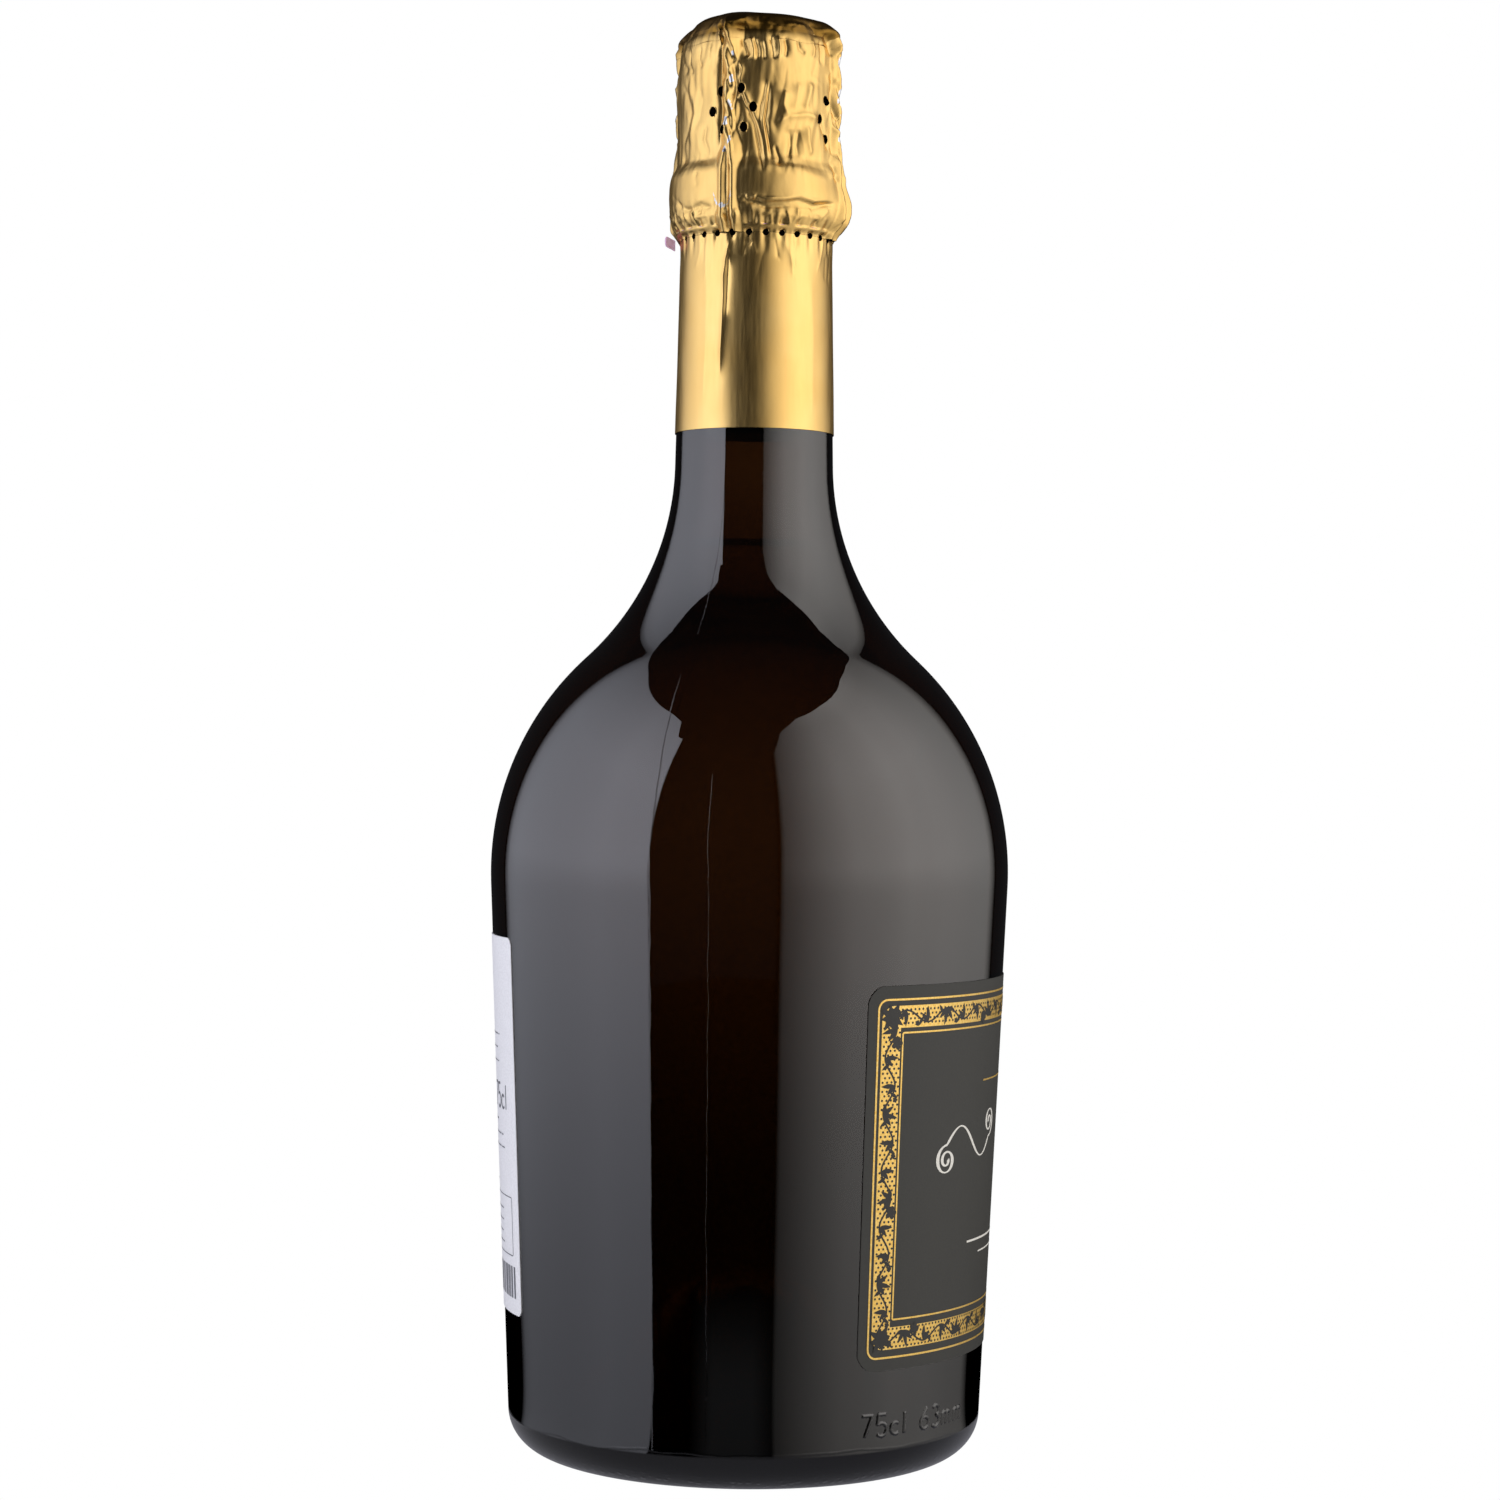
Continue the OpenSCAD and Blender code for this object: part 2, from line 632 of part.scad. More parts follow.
stem_out = key_stem_r + twist_r + wire_r + foil_slack;
leg_out = leg_r + twist_r + wire_r + foil_slack;
eye_out = leg_low_r + wire_r + 2 * foil_slack;
hem_r = wall_line(foil_gap + foil_slack, tear_z, ring_z)[0][0];
belt_out = belt_r + wire_r + foil_slack;
ring_out = ring_r + 2 * foil_slack;
head_out = head_r + 4 * foil_slack;
foil_top_z = loop_z + wire_r + top_gap;
hood_top_z = head_top_z - hood_drop;
rim_r = head_top_r - hood_inset;
mid_r = (head_out + rim_r) / 2;
bend_mid_z = (loop_z - leg_bend + hood_top_z) / 2;

// Inside of the foil over a leg's bend at the top
function bend_out(z) = leg_r - leg_bend + foil_slack
    + sqrt(pow(leg_bend + twist_r + wire_r, 2) - pow(z - loop_z + leg_bend, 2));

key_top_z = belt_z + key_stem_r - key_axis_r + key_half_turns * key_half_turn + key_loop_l;

hood_rows = [
    [tear_z, hem_r, hem_r, hem_r],
    [tear_z + hem_rise, hem_r + hem_flare, hem_r + 2 * hem_flare, hem_r + 2 * hem_flare],
    [belt_z - eye_bend, belt_out - hem_flare / 2, eye_out - hem_flare / 2, stem_out - 2 * hem_flare],
    [belt_z + wire_r, ring_out, eye_out, stem_out],
    [ring_z + ring_h / 2, ring_out, eye_out, stem_out],
    [ring_top_z - ring_round / 2, ring_out, eye_out, stem_out],
    [ring_top_z + groove_h / 3, head_out + hem_flare, eye_out - foil_slack, stem_out],
    [bead_z - groove_fillet, head_out + foil_slack, leg_out + foil_slack, stem_out],
    [bead_z + bead_h / 3, head_out, leg_out, stem_out],
    [key_top_z, head_out, leg_out, stem_out],
    [key_top_z + key_slope, head_out, leg_out, leg_out],
    [head_z + 2 * head_h / 3, head_out - foil_slack, leg_out, (head_out + leg_out) / 2],
    [loop_z - leg_bend, head_out - 2 * foil_slack, leg_out, head_out],
    [bend_mid_z, mid_r, bend_out(bend_mid_z), mid_r],
    [hood_top_z, rim_r, bend_out(hood_top_z), rim_r]];

lap = foil_t + disc_gap;
disc_rows = [
    [hood_top_z - disc_lap, head_out - 2 * foil_slack + lap, leg_out + lap, head_out],
    [bend_mid_z, mid_r + lap, bend_out(bend_mid_z) + lap, mid_r + lap],
    [hood_top_z, rim_r + lap, bend_out(hood_top_z) + lap, rim_r + lap],
    [foil_top_z - disc_bend, rim_r - disc_bend, rim_r + disc_bend, rim_r - disc_bend],
    [foil_top_z, rim_r - disc_inset, rim_r - disc_leg_inset, rim_r - disc_inset]];

function ridge_at(z) = z < head_z ? ridge_half :
    ridge_half + (ridge_half_top - ridge_half) * min(1, (z - head_z) / (hood_top_z - head_z));

function leg_share(z, a) = let (d = abs((a - leg_angle + 405) % 90 - 45), h = ridge_at(z))
    d < h ? pow(cos(90 * d / h), 2) : 0;

function key_share(a) = let (d = abs(turn(key_angle, a)))
    d < key_half ? 1 : d < key_half + key_fall ? pow(cos(90 * (d - key_half) / key_fall), 2) : 0;

function foil_r(row, a) = let (base = row[1]) base + max(
    (row[2] - base) * leg_share(row[0], a), (row[3] - base) * key_share(a));

// Outward direction of a row, from its neighbours
function row_out(rows, i) = let (a = rows[max(i - 1, 0)], b = rows[min(i + 1, len(rows) - 1)],
    d = way([b[1] - a[1], b[0] - a[0]])) [d[1], -d[0]];

function foil_ring(rows, i, grow) = let (row = rows[i], out = grow * row_out(rows, i))
    [for (j = [0:foil_cols - 1]) let (a = 360 * j / foil_cols, r = foil_r(row, a) + out[0])
        [r * cos(a), r * sin(a), row[0] + out[1]]];

module capsule_hood() {
    last = len(hood_rows) - 1;
    color([0.93, 0.78, 0.42]) ringed(concat(
        [for (i = [0:last]) foil_ring(hood_rows, i, foil_t)],
        [for (i = [last:-1:0]) foil_ring(hood_rows, i, 0)]), true);
}

module capsule_top_disc() {
    last = len(disc_rows) - 1;
    color([0.96, 0.83, 0.5]) ringed(concat(
        [for (i = [last:-1:0]) foil_ring(disc_rows, i, 0)],
        [for (i = [0:last]) foil_ring(disc_rows, i, foil_t)]), false);
}

// A thin layer on the glass between two heights

function wall_line(grow, low, high) = let (
    wall = [for (p = outline(wall_corners(grow), -90, -90)) if (p[1] > 0) [p[1], p[0]]])
    concat([[lookup(low, wall), low]],
        [for (p = wall) if (p[0] > low && p[0] < high) [p[1], p[0]]],
        [[lookup(high, wall), high]]);

module on_glass(low, high, gap, thick, sweep) {
    rotate_extrude(angle = sweep) polygon(concat(
        wall_line(gap + thick, low, high), backward(wall_line(gap, low, high))));
}

module capsule_skirt() {
    color([0.93, 0.78, 0.42]) difference() {
        on_glass(skirt_z, tear_z - tear_gap, foil_gap, foil_t, 360);
        for (i = [0:tear_holes - 1]) rotate([0, 0, tear_hole_angle + 360 * i / tear_holes])
            translate([neck_top_r - over, 0, tear_z]) rotate([0, 90, 0])
                cylinder(r = tear_hole_r, h = 3 * over);
    }
}

// Tape under the hood's hem, and the tab that pulls it

module tear_tape() {
    low = tear_gap;
    high = low + tape_w;
    slope = (hood_rows[1][1] - hood_rows[0][1]) / hem_rise;
    out = hem_r - tape_gap;
    color([0.75, 0.35, 0.6]) translate([0, 0, tear_z]) rotate_extrude() polygon([
        [out + slope * low - tape_t, low], [out + slope * low, low],
        [out + slope * high, high], [out + slope * high - tape_t, high]]);
}

module pull_tab() {
    x = hem_r + 2 * hem_flare + foil_t + tab_gap;
    color([0.78, 0.4, 0.66]) rotate([0, 0, tab_angle])
        translate([x, 0, tear_z + hem_rise - tab_h]) rotate([90, 0, 90])
            linear_extrude(tab_t) union() {
                square([tab_l - tab_h / 2, tab_h]);
                translate([tab_l - tab_h / 2, tab_h / 2]) circle(r = tab_h / 2);
            }
}

// Labels: a sheet on the glass with its four corners rounded

wall_table = [for (p = outline(wall_corners(0), -90, -90)) if (p[1] > 0) [p[1], p[0]]];

// Angle of one millimetre round the glass at a height
function mm_angle(z) = 180 / PI / lookup(z, wall_table);

module corner_cut(corner) {
    rotate([90, 0, 90]) linear_extrude(widest_r - body_base_r + 2 * over) difference() {
        square(corner + over);
        circle(r = corner + corner_cross);
    }
}

module label(w, h, z, corner, angle) {
    sweep = w * mm_angle(z + h / 2);
    rotate([0, 0, angle - sweep / 2]) difference() {
        on_glass(z, z + h, glue_gap, label_t, sweep);
        for (side = [0, 1]) for (end = [0, 1]) {
            middle_z = end ? z + h - corner : z + corner;
            inset = corner * mm_angle(middle_z);
            rotate([0, 0, side ? sweep - inset : inset])
                translate([body_base_r - over, 0, middle_z])
                    mirror([0, 1 - side, 0]) mirror([0, 0, 1 - end]) corner_cut(corner);
        }
    }
}

module front_label() {
    color([0.27, 0.27, 0.26]) label(front_w, front_h, front_z, front_corner, front_angle);
}

module back_label() {
    color([0.93, 0.93, 0.92]) label(back_w, back_h, back_z, back_corner, back_angle);
}

bottle();
wine();
cork_body();
cork_disc_upper();
cork_disc_lower();
plaque();
cage_wire();
belt_wire();
twist_key();
capsule_hood();
capsule_top_disc();
capsule_skirt();
tear_tape();
pull_tab();
front_label();
back_label();
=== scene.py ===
import math

import bpy
import numpy as np
from mathutils import Matrix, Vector
from mathutils.bvhtree import BVHTree


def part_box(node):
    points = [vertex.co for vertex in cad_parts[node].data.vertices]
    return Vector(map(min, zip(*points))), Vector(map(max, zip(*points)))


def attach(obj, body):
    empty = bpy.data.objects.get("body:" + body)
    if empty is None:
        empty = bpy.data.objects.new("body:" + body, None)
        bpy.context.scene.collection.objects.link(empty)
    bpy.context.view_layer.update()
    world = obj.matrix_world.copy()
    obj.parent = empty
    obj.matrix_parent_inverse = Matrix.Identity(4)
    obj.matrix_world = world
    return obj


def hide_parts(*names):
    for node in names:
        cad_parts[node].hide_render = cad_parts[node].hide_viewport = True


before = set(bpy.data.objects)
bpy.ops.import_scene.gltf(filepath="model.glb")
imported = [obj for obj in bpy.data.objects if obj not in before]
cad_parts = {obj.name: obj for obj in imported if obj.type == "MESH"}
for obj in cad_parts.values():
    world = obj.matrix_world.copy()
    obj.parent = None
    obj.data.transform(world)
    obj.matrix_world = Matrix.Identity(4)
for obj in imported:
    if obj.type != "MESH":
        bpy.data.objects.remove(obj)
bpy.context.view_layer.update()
print("frame loaded")

# Sizes are in millimetres, angles in degrees, and azimuth 180 faces the camera.
# Azimuth grows anticlockwise seen from above, so the picture's left has azimuths under 180.
mm = 0.001
draw = np.random.default_rng(11)


# Meshes

# Quads of a grid of rows and columns, joined round when it wraps
def gridFaces(rows, cols, wrap=True):
    j = np.arange(cols if wrap else cols - 1)
    i = np.arange(rows - 1)[:, None]
    step = (j + 1) % cols
    quads = [i * cols + j, i * cols + step, (i + 1) * cols + step, (i + 1) * cols + j]
    return np.stack(quads, -1).reshape(-1, 4)


def meshObject(name, points, faces, material, body, values=None):
    mesh = bpy.data.meshes.new(name)
    mesh.from_pydata((np.asarray(points).reshape(-1, 3) * mm).tolist(), [], [list(f) for f in faces])
    mesh.polygons.foreach_set("use_smooth", np.ones(len(mesh.polygons), bool))
    for key, array in (values or {}).items():
        layer = mesh.attributes.new(key, "FLOAT", "POINT")
        layer.data.foreach_set("value", np.asarray(array, np.float32).ravel())
    mesh.materials.append(material)
    mesh.update()
    piece = bpy.data.objects.new(name, mesh)
    bpy.context.scene.collection.objects.link(piece)
    if body:
        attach(piece, body)
    return piece


# Points at radius, azimuth and height
def polar(radius, azimuth, height):
    a = np.radians(azimuth)
    return np.stack(np.broadcast_arrays(radius * np.cos(a), radius * np.sin(a), height), -1)


# Shortest signed difference of two azimuths
def azimuthGap(a, b):
    return (a - b + 180) % 360 - 180


# Smooth step from 0 to 1 between low and high
def ease(x, low, high):
    t = np.clip((x - low) / (high - low), 0, 1)
    return t * t * (3 - 2 * t)


# Soft random relief: a sum of cosine waves, each with a whole number of waves round the axis
def waves(azimuth, height, count, around, along):
    total = 0
    for _ in range(count):
        turns = draw.integers(around[0], around[1] + 1)
        pitch = 2 * np.pi / draw.uniform(*along)
        total = total + np.cos(np.radians(azimuth) * turns + height * pitch * draw.choice([-1, 1])
                               + draw.uniform(0, 2 * np.pi))
    return total / np.sqrt(count)


# A fold along a path of [azimuth, height]: rise * exp(-distance / width), rounded at its crest
# and fading out over the path's last fifth at each end
def addFold(field, azimuths, heights, path, width, rise, radius=15.8):
    path = np.asarray(path, float)
    reach = 7 * width
    turned = np.degrees(reach / radius)
    middle = path[:, 0].mean()
    cols = np.where(np.abs(azimuthGap(azimuths, middle)) < np.abs(path[:, 0] - middle).max() + turned)[0]
    rows = np.where((heights > path[:, 1].min() - reach) & (heights < path[:, 1].max() + reach))[0]
    if not len(cols) or not len(rows):
        return
    u = np.radians(azimuthGap(azimuths[cols], middle))[None, :] * radius
    z = heights[rows][:, None]
    x = np.radians(path[:, 0] - middle) * radius
    y = path[:, 1]
    spans = np.hypot(np.diff(x), np.diff(y))
    before = np.r_[0, np.cumsum(spans)]
    best = np.full(np.broadcast(u, z).shape, 1e9)
    along = np.zeros_like(best)
    for k, span in enumerate(spans):
        t = ((u - x[k]) * (x[k + 1] - x[k]) + (z - y[k]) * (y[k + 1] - y[k])) / span ** 2
        t = np.clip(t, 0, 1)
        d = np.hypot(u - x[k] - t * (x[k + 1] - x[k]), z - y[k] - t * (y[k + 1] - y[k]))
        nearer = d < best
        best = np.where(nearer, d, best)
        along = np.where(nearer, (before[k] + t * span) / before[-1], along)
    fade = ease(along, -0.02, 0.2) * (1 - ease(along, 0.8, 1.02))
    crest = 0.3 * width
    field[np.ix_(rows, cols)] += rise * fade * np.exp(-(np.sqrt(best ** 2 + crest ** 2) - crest) / width)


# A fold that wanders: from its middle point along a lean, with small turns on the way
def wandering(azimuth, height, lean, length, swing):
    t = np.linspace(-0.5, 0.5, max(3, int(length / 2.6)))
    off = draw.normal(0, swing, len(t))
    across = np.degrees((np.sin(np.radians(lean)) * t * length + off) / 15.8)
    return np.stack([azimuth + across, height + np.cos(np.radians(lean)) * t * length], -1)


# Outline of rounded corners [radius, height, signed rounding] as in the CAD, with finer steps
def outline(corners, first=-90.0, last=90.0, step=1.5):
    def normalTo(a, b):
        reach = math.hypot(b[0] - a[0], b[1] - a[1])
        return (math.degrees(math.atan2(b[1] - a[1], b[0] - a[0]))
                - math.degrees(math.acos(max(-1, min(1, (a[2] - b[2]) / reach)))))

    points = []
    for i, (r, z, rounding) in enumerate(corners):
        start = first if i == 0 else normalTo(corners[i - 1], corners[i])
        end = last if i == len(corners) - 1 else normalTo(corners[i], corners[i + 1])
        sweep = (end - start + 900) % 360 - 180
        steps = max(1, math.ceil(abs(sweep) / step)) if rounding else 0
        for k in range(steps + 1):
            a = math.radians(start + (sweep * k / steps if steps else 0))
            points.append((r + rounding * math.cos(a), z + rounding * math.sin(a)))
    return np.array(points)


# Extra points so that no stretch of an outline is longer than a limit
def refined(points, limit):
    out = [points[0]]
    for a, b in zip(points[:-1], points[1:]):
        count = max(1, math.ceil(np.hypot(*(b - a)) / limit))
        out += [a + (b - a) * k / count for k in range(1, count + 1)]
    return np.array(out)


# Materials

def linear(code):
    parts = [int(code[i:i + 2], 16) / 255 for i in (1, 3, 5)]
    return [c / 12.92 if c <= 0.04045 else ((c + 0.055) / 1.055) ** 2.4 for c in parts] + [1.0]


def addNode(tree, kind, settings=None, **sources):
    node = tree.nodes.new(kind)
    for key, value in (settings or {}).items():
        setattr(node, key, value)
    for key, source in sources.items():
        socket = node.inputs[int(key[1:])] if key[0] == "i" and key[1:].isdigit() \
            else node.inputs[key.replace("_", " ")]
        if isinstance(source, bpy.types.NodeSocket):
            tree.links.new(source, socket)
        else:
            socket.default_value = source
    return node


def shader(name, **values):
    material = bpy.data.materials.new(name)
    material.use_nodes = True
    tree = material.node_tree
    main = tree.nodes["Principled BSDF"]
    for key, value in values.items():
        main.inputs[key.replace("_", " ")].default_value = value
    return material, tree, main


def place(tree, stretch=(1, 1, 1)):
    coords = addNode(tree, "ShaderNodeTexCoord").outputs["Object"]
    return addNode(tree, "ShaderNodeMapping", Vector=coords, Scale=stretch).outputs[0]


# Noise whose features are about size millimetres
def grain(tree, where, size, detail=2.0, rough=0.5):
    return addNode(tree, "ShaderNodeTexNoise", Vector=where, Scale=1 / (size * mm),
                   Detail=detail, Roughness=rough).outputs["Fac"]


def ramp(tree, value, low, high, toLow, toHigh, smooth=False):
    kind = "SMOOTHSTEP" if smooth else "LINEAR"
    return addNode(tree, "ShaderNodeMapRange", {"interpolation_type": kind}, i0=value,
                   i1=low, i2=high, i3=toLow, i4=toHigh).outputs[0]


def maths(tree, operation, a, b=0.0):
    return addNode(tree, "ShaderNodeMath", {"operation": operation}, i0=a, i1=b).outputs[0]


def mixed(tree, factor, a, b):
    node = addNode(tree, "ShaderNodeMix", {"data_type": "RGBA"}, i0=factor, i6=a, i7=b)
    return node.outputs[2]


def bumped(tree, main, height, depth, under=None):
    node = addNode(tree, "ShaderNodeBump", Height=height, Distance=depth * mm, Strength=1.0)
    if under is not None:
        tree.links.new(under, node.inputs["Normal"])
    tree.links.new(node.outputs[0], main.inputs["Normal"])
    return node.outputs[0]


# The object's own coordinates one by one
def ownXyz(tree):
    coords = addNode(tree, "ShaderNodeTexCoord").outputs["Object"]
    return addNode(tree, "ShaderNodeSeparateXYZ", Vector=coords).outputs


# Azimuth in degrees and height in metres from the object's own coordinates
def azimuthNode(tree):
    x, y, z = ownXyz(tree)
    return maths(tree, "MULTIPLY", maths(tree, "ARCTAN2", y, x), 180 / math.pi), z


# Camera: level, at the height where the picture's middle line meets the bottle, rolled so
# that the bottle leans a little to the right as in the photograph
view = {"distance": 640.0, "eye": 134.5, "aside": 0.16, "roll": 0.6486, "lens": 79.2}
cameraData = bpy.data.cameras.new("camera")
cameraData.lens = view["lens"]
cameraData.sensor_width = 36
camera = bpy.data.objects.new("camera", cameraData)
bpy.context.scene.collection.objects.link(camera)
roll = math.radians(view["roll"])
right = np.array([0, -math.cos(roll), math.sin(roll)])
up = np.array([0, math.sin(roll), math.cos(roll)])
turn = Matrix([[right[0], up[0], -1], [right[1], up[1], 0], [right[2], up[2], 0]])
camera.matrix_world = Matrix.Translation(
    (-view["distance"] * mm, view["aside"] * mm, view["eye"] * mm)) @ turn.to_4x4()
bpy.context.scene.camera = camera
print("camera placed")

# Glass bottle, from the same rounded corners as the CAD solid

glass = {
    "baseR": 45.5, "widestR": 50.0, "widestZ": 111.0, "heelR": 8.0, "footCut": 0.3,
    "shoulder": 56.0, "neckArc": 52.0, "slope": 1.0, "wall": 5.1, "innerHeel": 4.2,
    "heelWall": 7.0, "puntZ": 30.0, "puntTip": 12.0, "puntWall": 7.5, "footOut": 0.7,
    "footR": 2.6, "neckR": 15.3, "neckTopR": 14.4, "neckBore": 10.3, "ringZ": 237.0,
    "ringH": 8.0, "ringR": 16.2, "ringRound": 1.2, "ringFillet": 0.6, "grooveR": 13.2,
    "grooveFillet": 1.0, "grooveH": 6.2, "beadH": 7.2, "beadR": 14.2, "beadRound": 1.2,
    "lipRound": 2.2, "mouthRound": 1.0, "boreR": 8.75, "boreDepth": 30.0, "columns": 256,
}


# Rise from the shoulder's middle to the neck's for two roundings and the run between them
def riseOf(reach, inward):
    return math.sqrt(reach ** 2 + glass["slope"] ** 2 - (reach - inward) ** 2)


# Heel, flared body, neck and the step under the cage ring, as rounded corners
def wallCorners(grow=0.0):
    g = glass
    neckZ = g["widestZ"] + riseOf(g["shoulder"] + g["neckArc"], g["widestR"] - g["neckR"])
    return [
        (0, -g["footCut"] - grow, 0),
        (g["baseR"] - g["heelR"], g["heelR"] - g["footCut"], g["heelR"] + grow),
        (g["widestR"] - g["shoulder"], g["widestZ"], g["shoulder"] + grow),
        (g["neckR"] + g["neckArc"], neckZ, grow - g["neckArc"]),
        (g["neckTopR"] + g["ringFillet"], g["ringZ"] - g["ringFillet"], grow - g["ringFillet"])]


# Height of the lip, and the corners of cage ring, groove and lip bead
def finishCorners():
    g = glass
    ringTop = g["ringZ"] + g["ringH"]
    bead = ringTop + g["grooveH"]
    lip = bead + g["beadH"]
    ring = g["ringR"] - g["ringRound"]
    groove = g["grooveR"] + g["grooveFillet"]
    return lip, [
        (ring, g["ringZ"] + g["ringRound"], g["ringRound"]),
        (ring, ringTop - g["ringRound"], g["ringRound"]),
        (groove, ringTop + g["grooveFillet"], -g["grooveFillet"]),
        (groove, bead - g["grooveFillet"], -g["grooveFillet"]),
        (g["beadR"] - g["beadRound"], bead + g["beadRound"], g["beadRound"]),
        (g["beadR"] - g["lipRound"], lip - g["lipRound"], g["lipRound"])]


lipZ, finish = finishCorners()
outerWall = outline(wallCorners() + finish)


# Inside of the glass from the punt's back to the bore
def innerOutline(shrink=0.0):
    g = glass
    shoulder = g["shoulder"] - g["wall"]
    neckZ = g["widestZ"] + riseOf(shoulder + g["neckArc"], g["widestR"] - g["wall"] - g["neckBore"])
    return outline([
        (0, g["puntZ"] - g["puntTip"], -g["puntTip"] - g["puntWall"] - shrink),
        (g["baseR"] - g["wall"] - g["innerHeel"], g["heelWall"] + g["innerHeel"],
         g["innerHeel"] - shrink),
        (g["widestR"] - g["shoulder"], g["widestZ"], shoulder - shrink),
        (g["neckBore"] + g["neckArc"], neckZ, -g["neckArc"] - shrink),
        (g["boreR"] - shrink, lipZ - g["boreDepth"], 0)])


# Outer radius of the wall below the ring at a height
def wallRadius(z, grow=0.0):
    body = outline(wallCorners(grow), -90, -90)
    body = body[body[:, 1] > 0]
    return np.interp(z, body[:, 1], body[:, 0])


# Whole section: punt, foot, outside, mouth and inside
def bottleOutline():
    g = glass
    foot = [(g["baseR"] - g["heelR"] + g["footOut"] + 1, -g["footCut"], 0),
            (g["baseR"] - g["heelR"] + g["footOut"], g["footR"] - g["footCut"], -g["footR"]),
            (0, g["puntZ"] - g["puntTip"], g["puntTip"])]
    punt = outline(foot)[::-1]
    mouth = outline([(g["boreR"] + g["mouthRound"], lipZ - g["mouthRound"], -g["mouthRound"]),
                     (g["boreR"] + g["mouthRound"] + 1, lipZ, 0)], 0, 90)[::-1]

    # Keeps what is above the standing plane, ending on it
    def above(points, atEnd):
        kept = points[points[:, 1] >= 0]
        low = points[points[:, 1] < 0]
        a, b = (kept[-1], low[0]) if atEnd else (kept[0], low[-1])
        t = a[1] / (a[1] - b[1])
        cut = a + (b - a) * t
        return np.vstack([kept, cut]) if atEnd else np.vstack([cut, kept])

    chain = np.vstack([above(punt, True), above(outerWall, False)])
    inner = innerOutline()[::-1]
    return refined(np.vstack([chain, mouth[1:], inner]), 3.0)


# Surface of a chain of [radius, height] turned about the axis, with a fan where it meets it
def lathe(name, chain, columns, material, body):
    keep = np.r_[True, np.hypot(*np.diff(chain, axis=0).T) > 1e-3]
    chain = chain[keep]
    azimuths = np.arange(columns) * 360 / columns
    ends = [chain[0, 0] < 1e-3, chain[-1, 0] < 1e-3]
    rings = chain[1 if ends[0] else 0: len(chain) - 1 if ends[1] else len(chain)]
    points = polar(rings[:, 0, None], azimuths[None, :], rings[:, 1, None]).reshape(-1, 3)
    faces = gridFaces(len(rings), columns).tolist()
    n = len(points)
    j = np.arange(columns)
    extra = []
    if ends[0]:
        extra.append([0, 0, chain[0, 1]])
        faces += np.stack([np.full(columns, n), (j + 1) % columns, j], -1).tolist()
    if ends[1]:
        extra.append([0, 0, chain[-1, 1]])
        top = (len(rings) - 1) * columns
        tip = np.full(columns, n + len(extra) - 1)
        faces += np.stack([tip, top + j, top + (j + 1) % columns], -1).tolist()
    if extra:
        points = np.vstack([points, extra])
    return meshObject(name, points, faces, material, body)


# What the mould leaves, in degrees and mm: two seams half a turn apart, a faint line near one,
# the line of the base plate round the heel and a knurl under it
mould = {
    "seamMiddle": 69.0, "seamApart": 90.0, "seamHalf": 0.42, "seamDepth": 0.07, "waver": 0.4,
    "seamFoot": (6.0, 12.0), "seamTop": (138.0, 150.0), "seamAbove": 0.35,
    "faint": 171.6, "faintHalf": 0.22, "faintTop": (128.0, 134.0), "faintShare": 0.5,
    "plate": 7.2, "plateHalf": 0.4, "plateSwing": 0.5, "plateDepth": 0.05,
    "knurl": 1.5, "knurlTop": (2.0, 3.6), "knurlDepth": 0.16,
}


# Soft change from one value to another between two heights in mm
def heightShare(tree, height, band, toLow, toHigh):
    return ramp(tree, height, band[0] * mm, band[1] * mm, toLow, toHigh, True)


# Soft line: 1 where a value is at its middle and 0 from a half width on
def lineAt(tree, value, middle, half):
    off = maths(tree, "ABSOLUTE", maths(tree, "SUBTRACT", value, middle))
    return ramp(tree, off, 0.0, half, 1.0, 0.0, True)


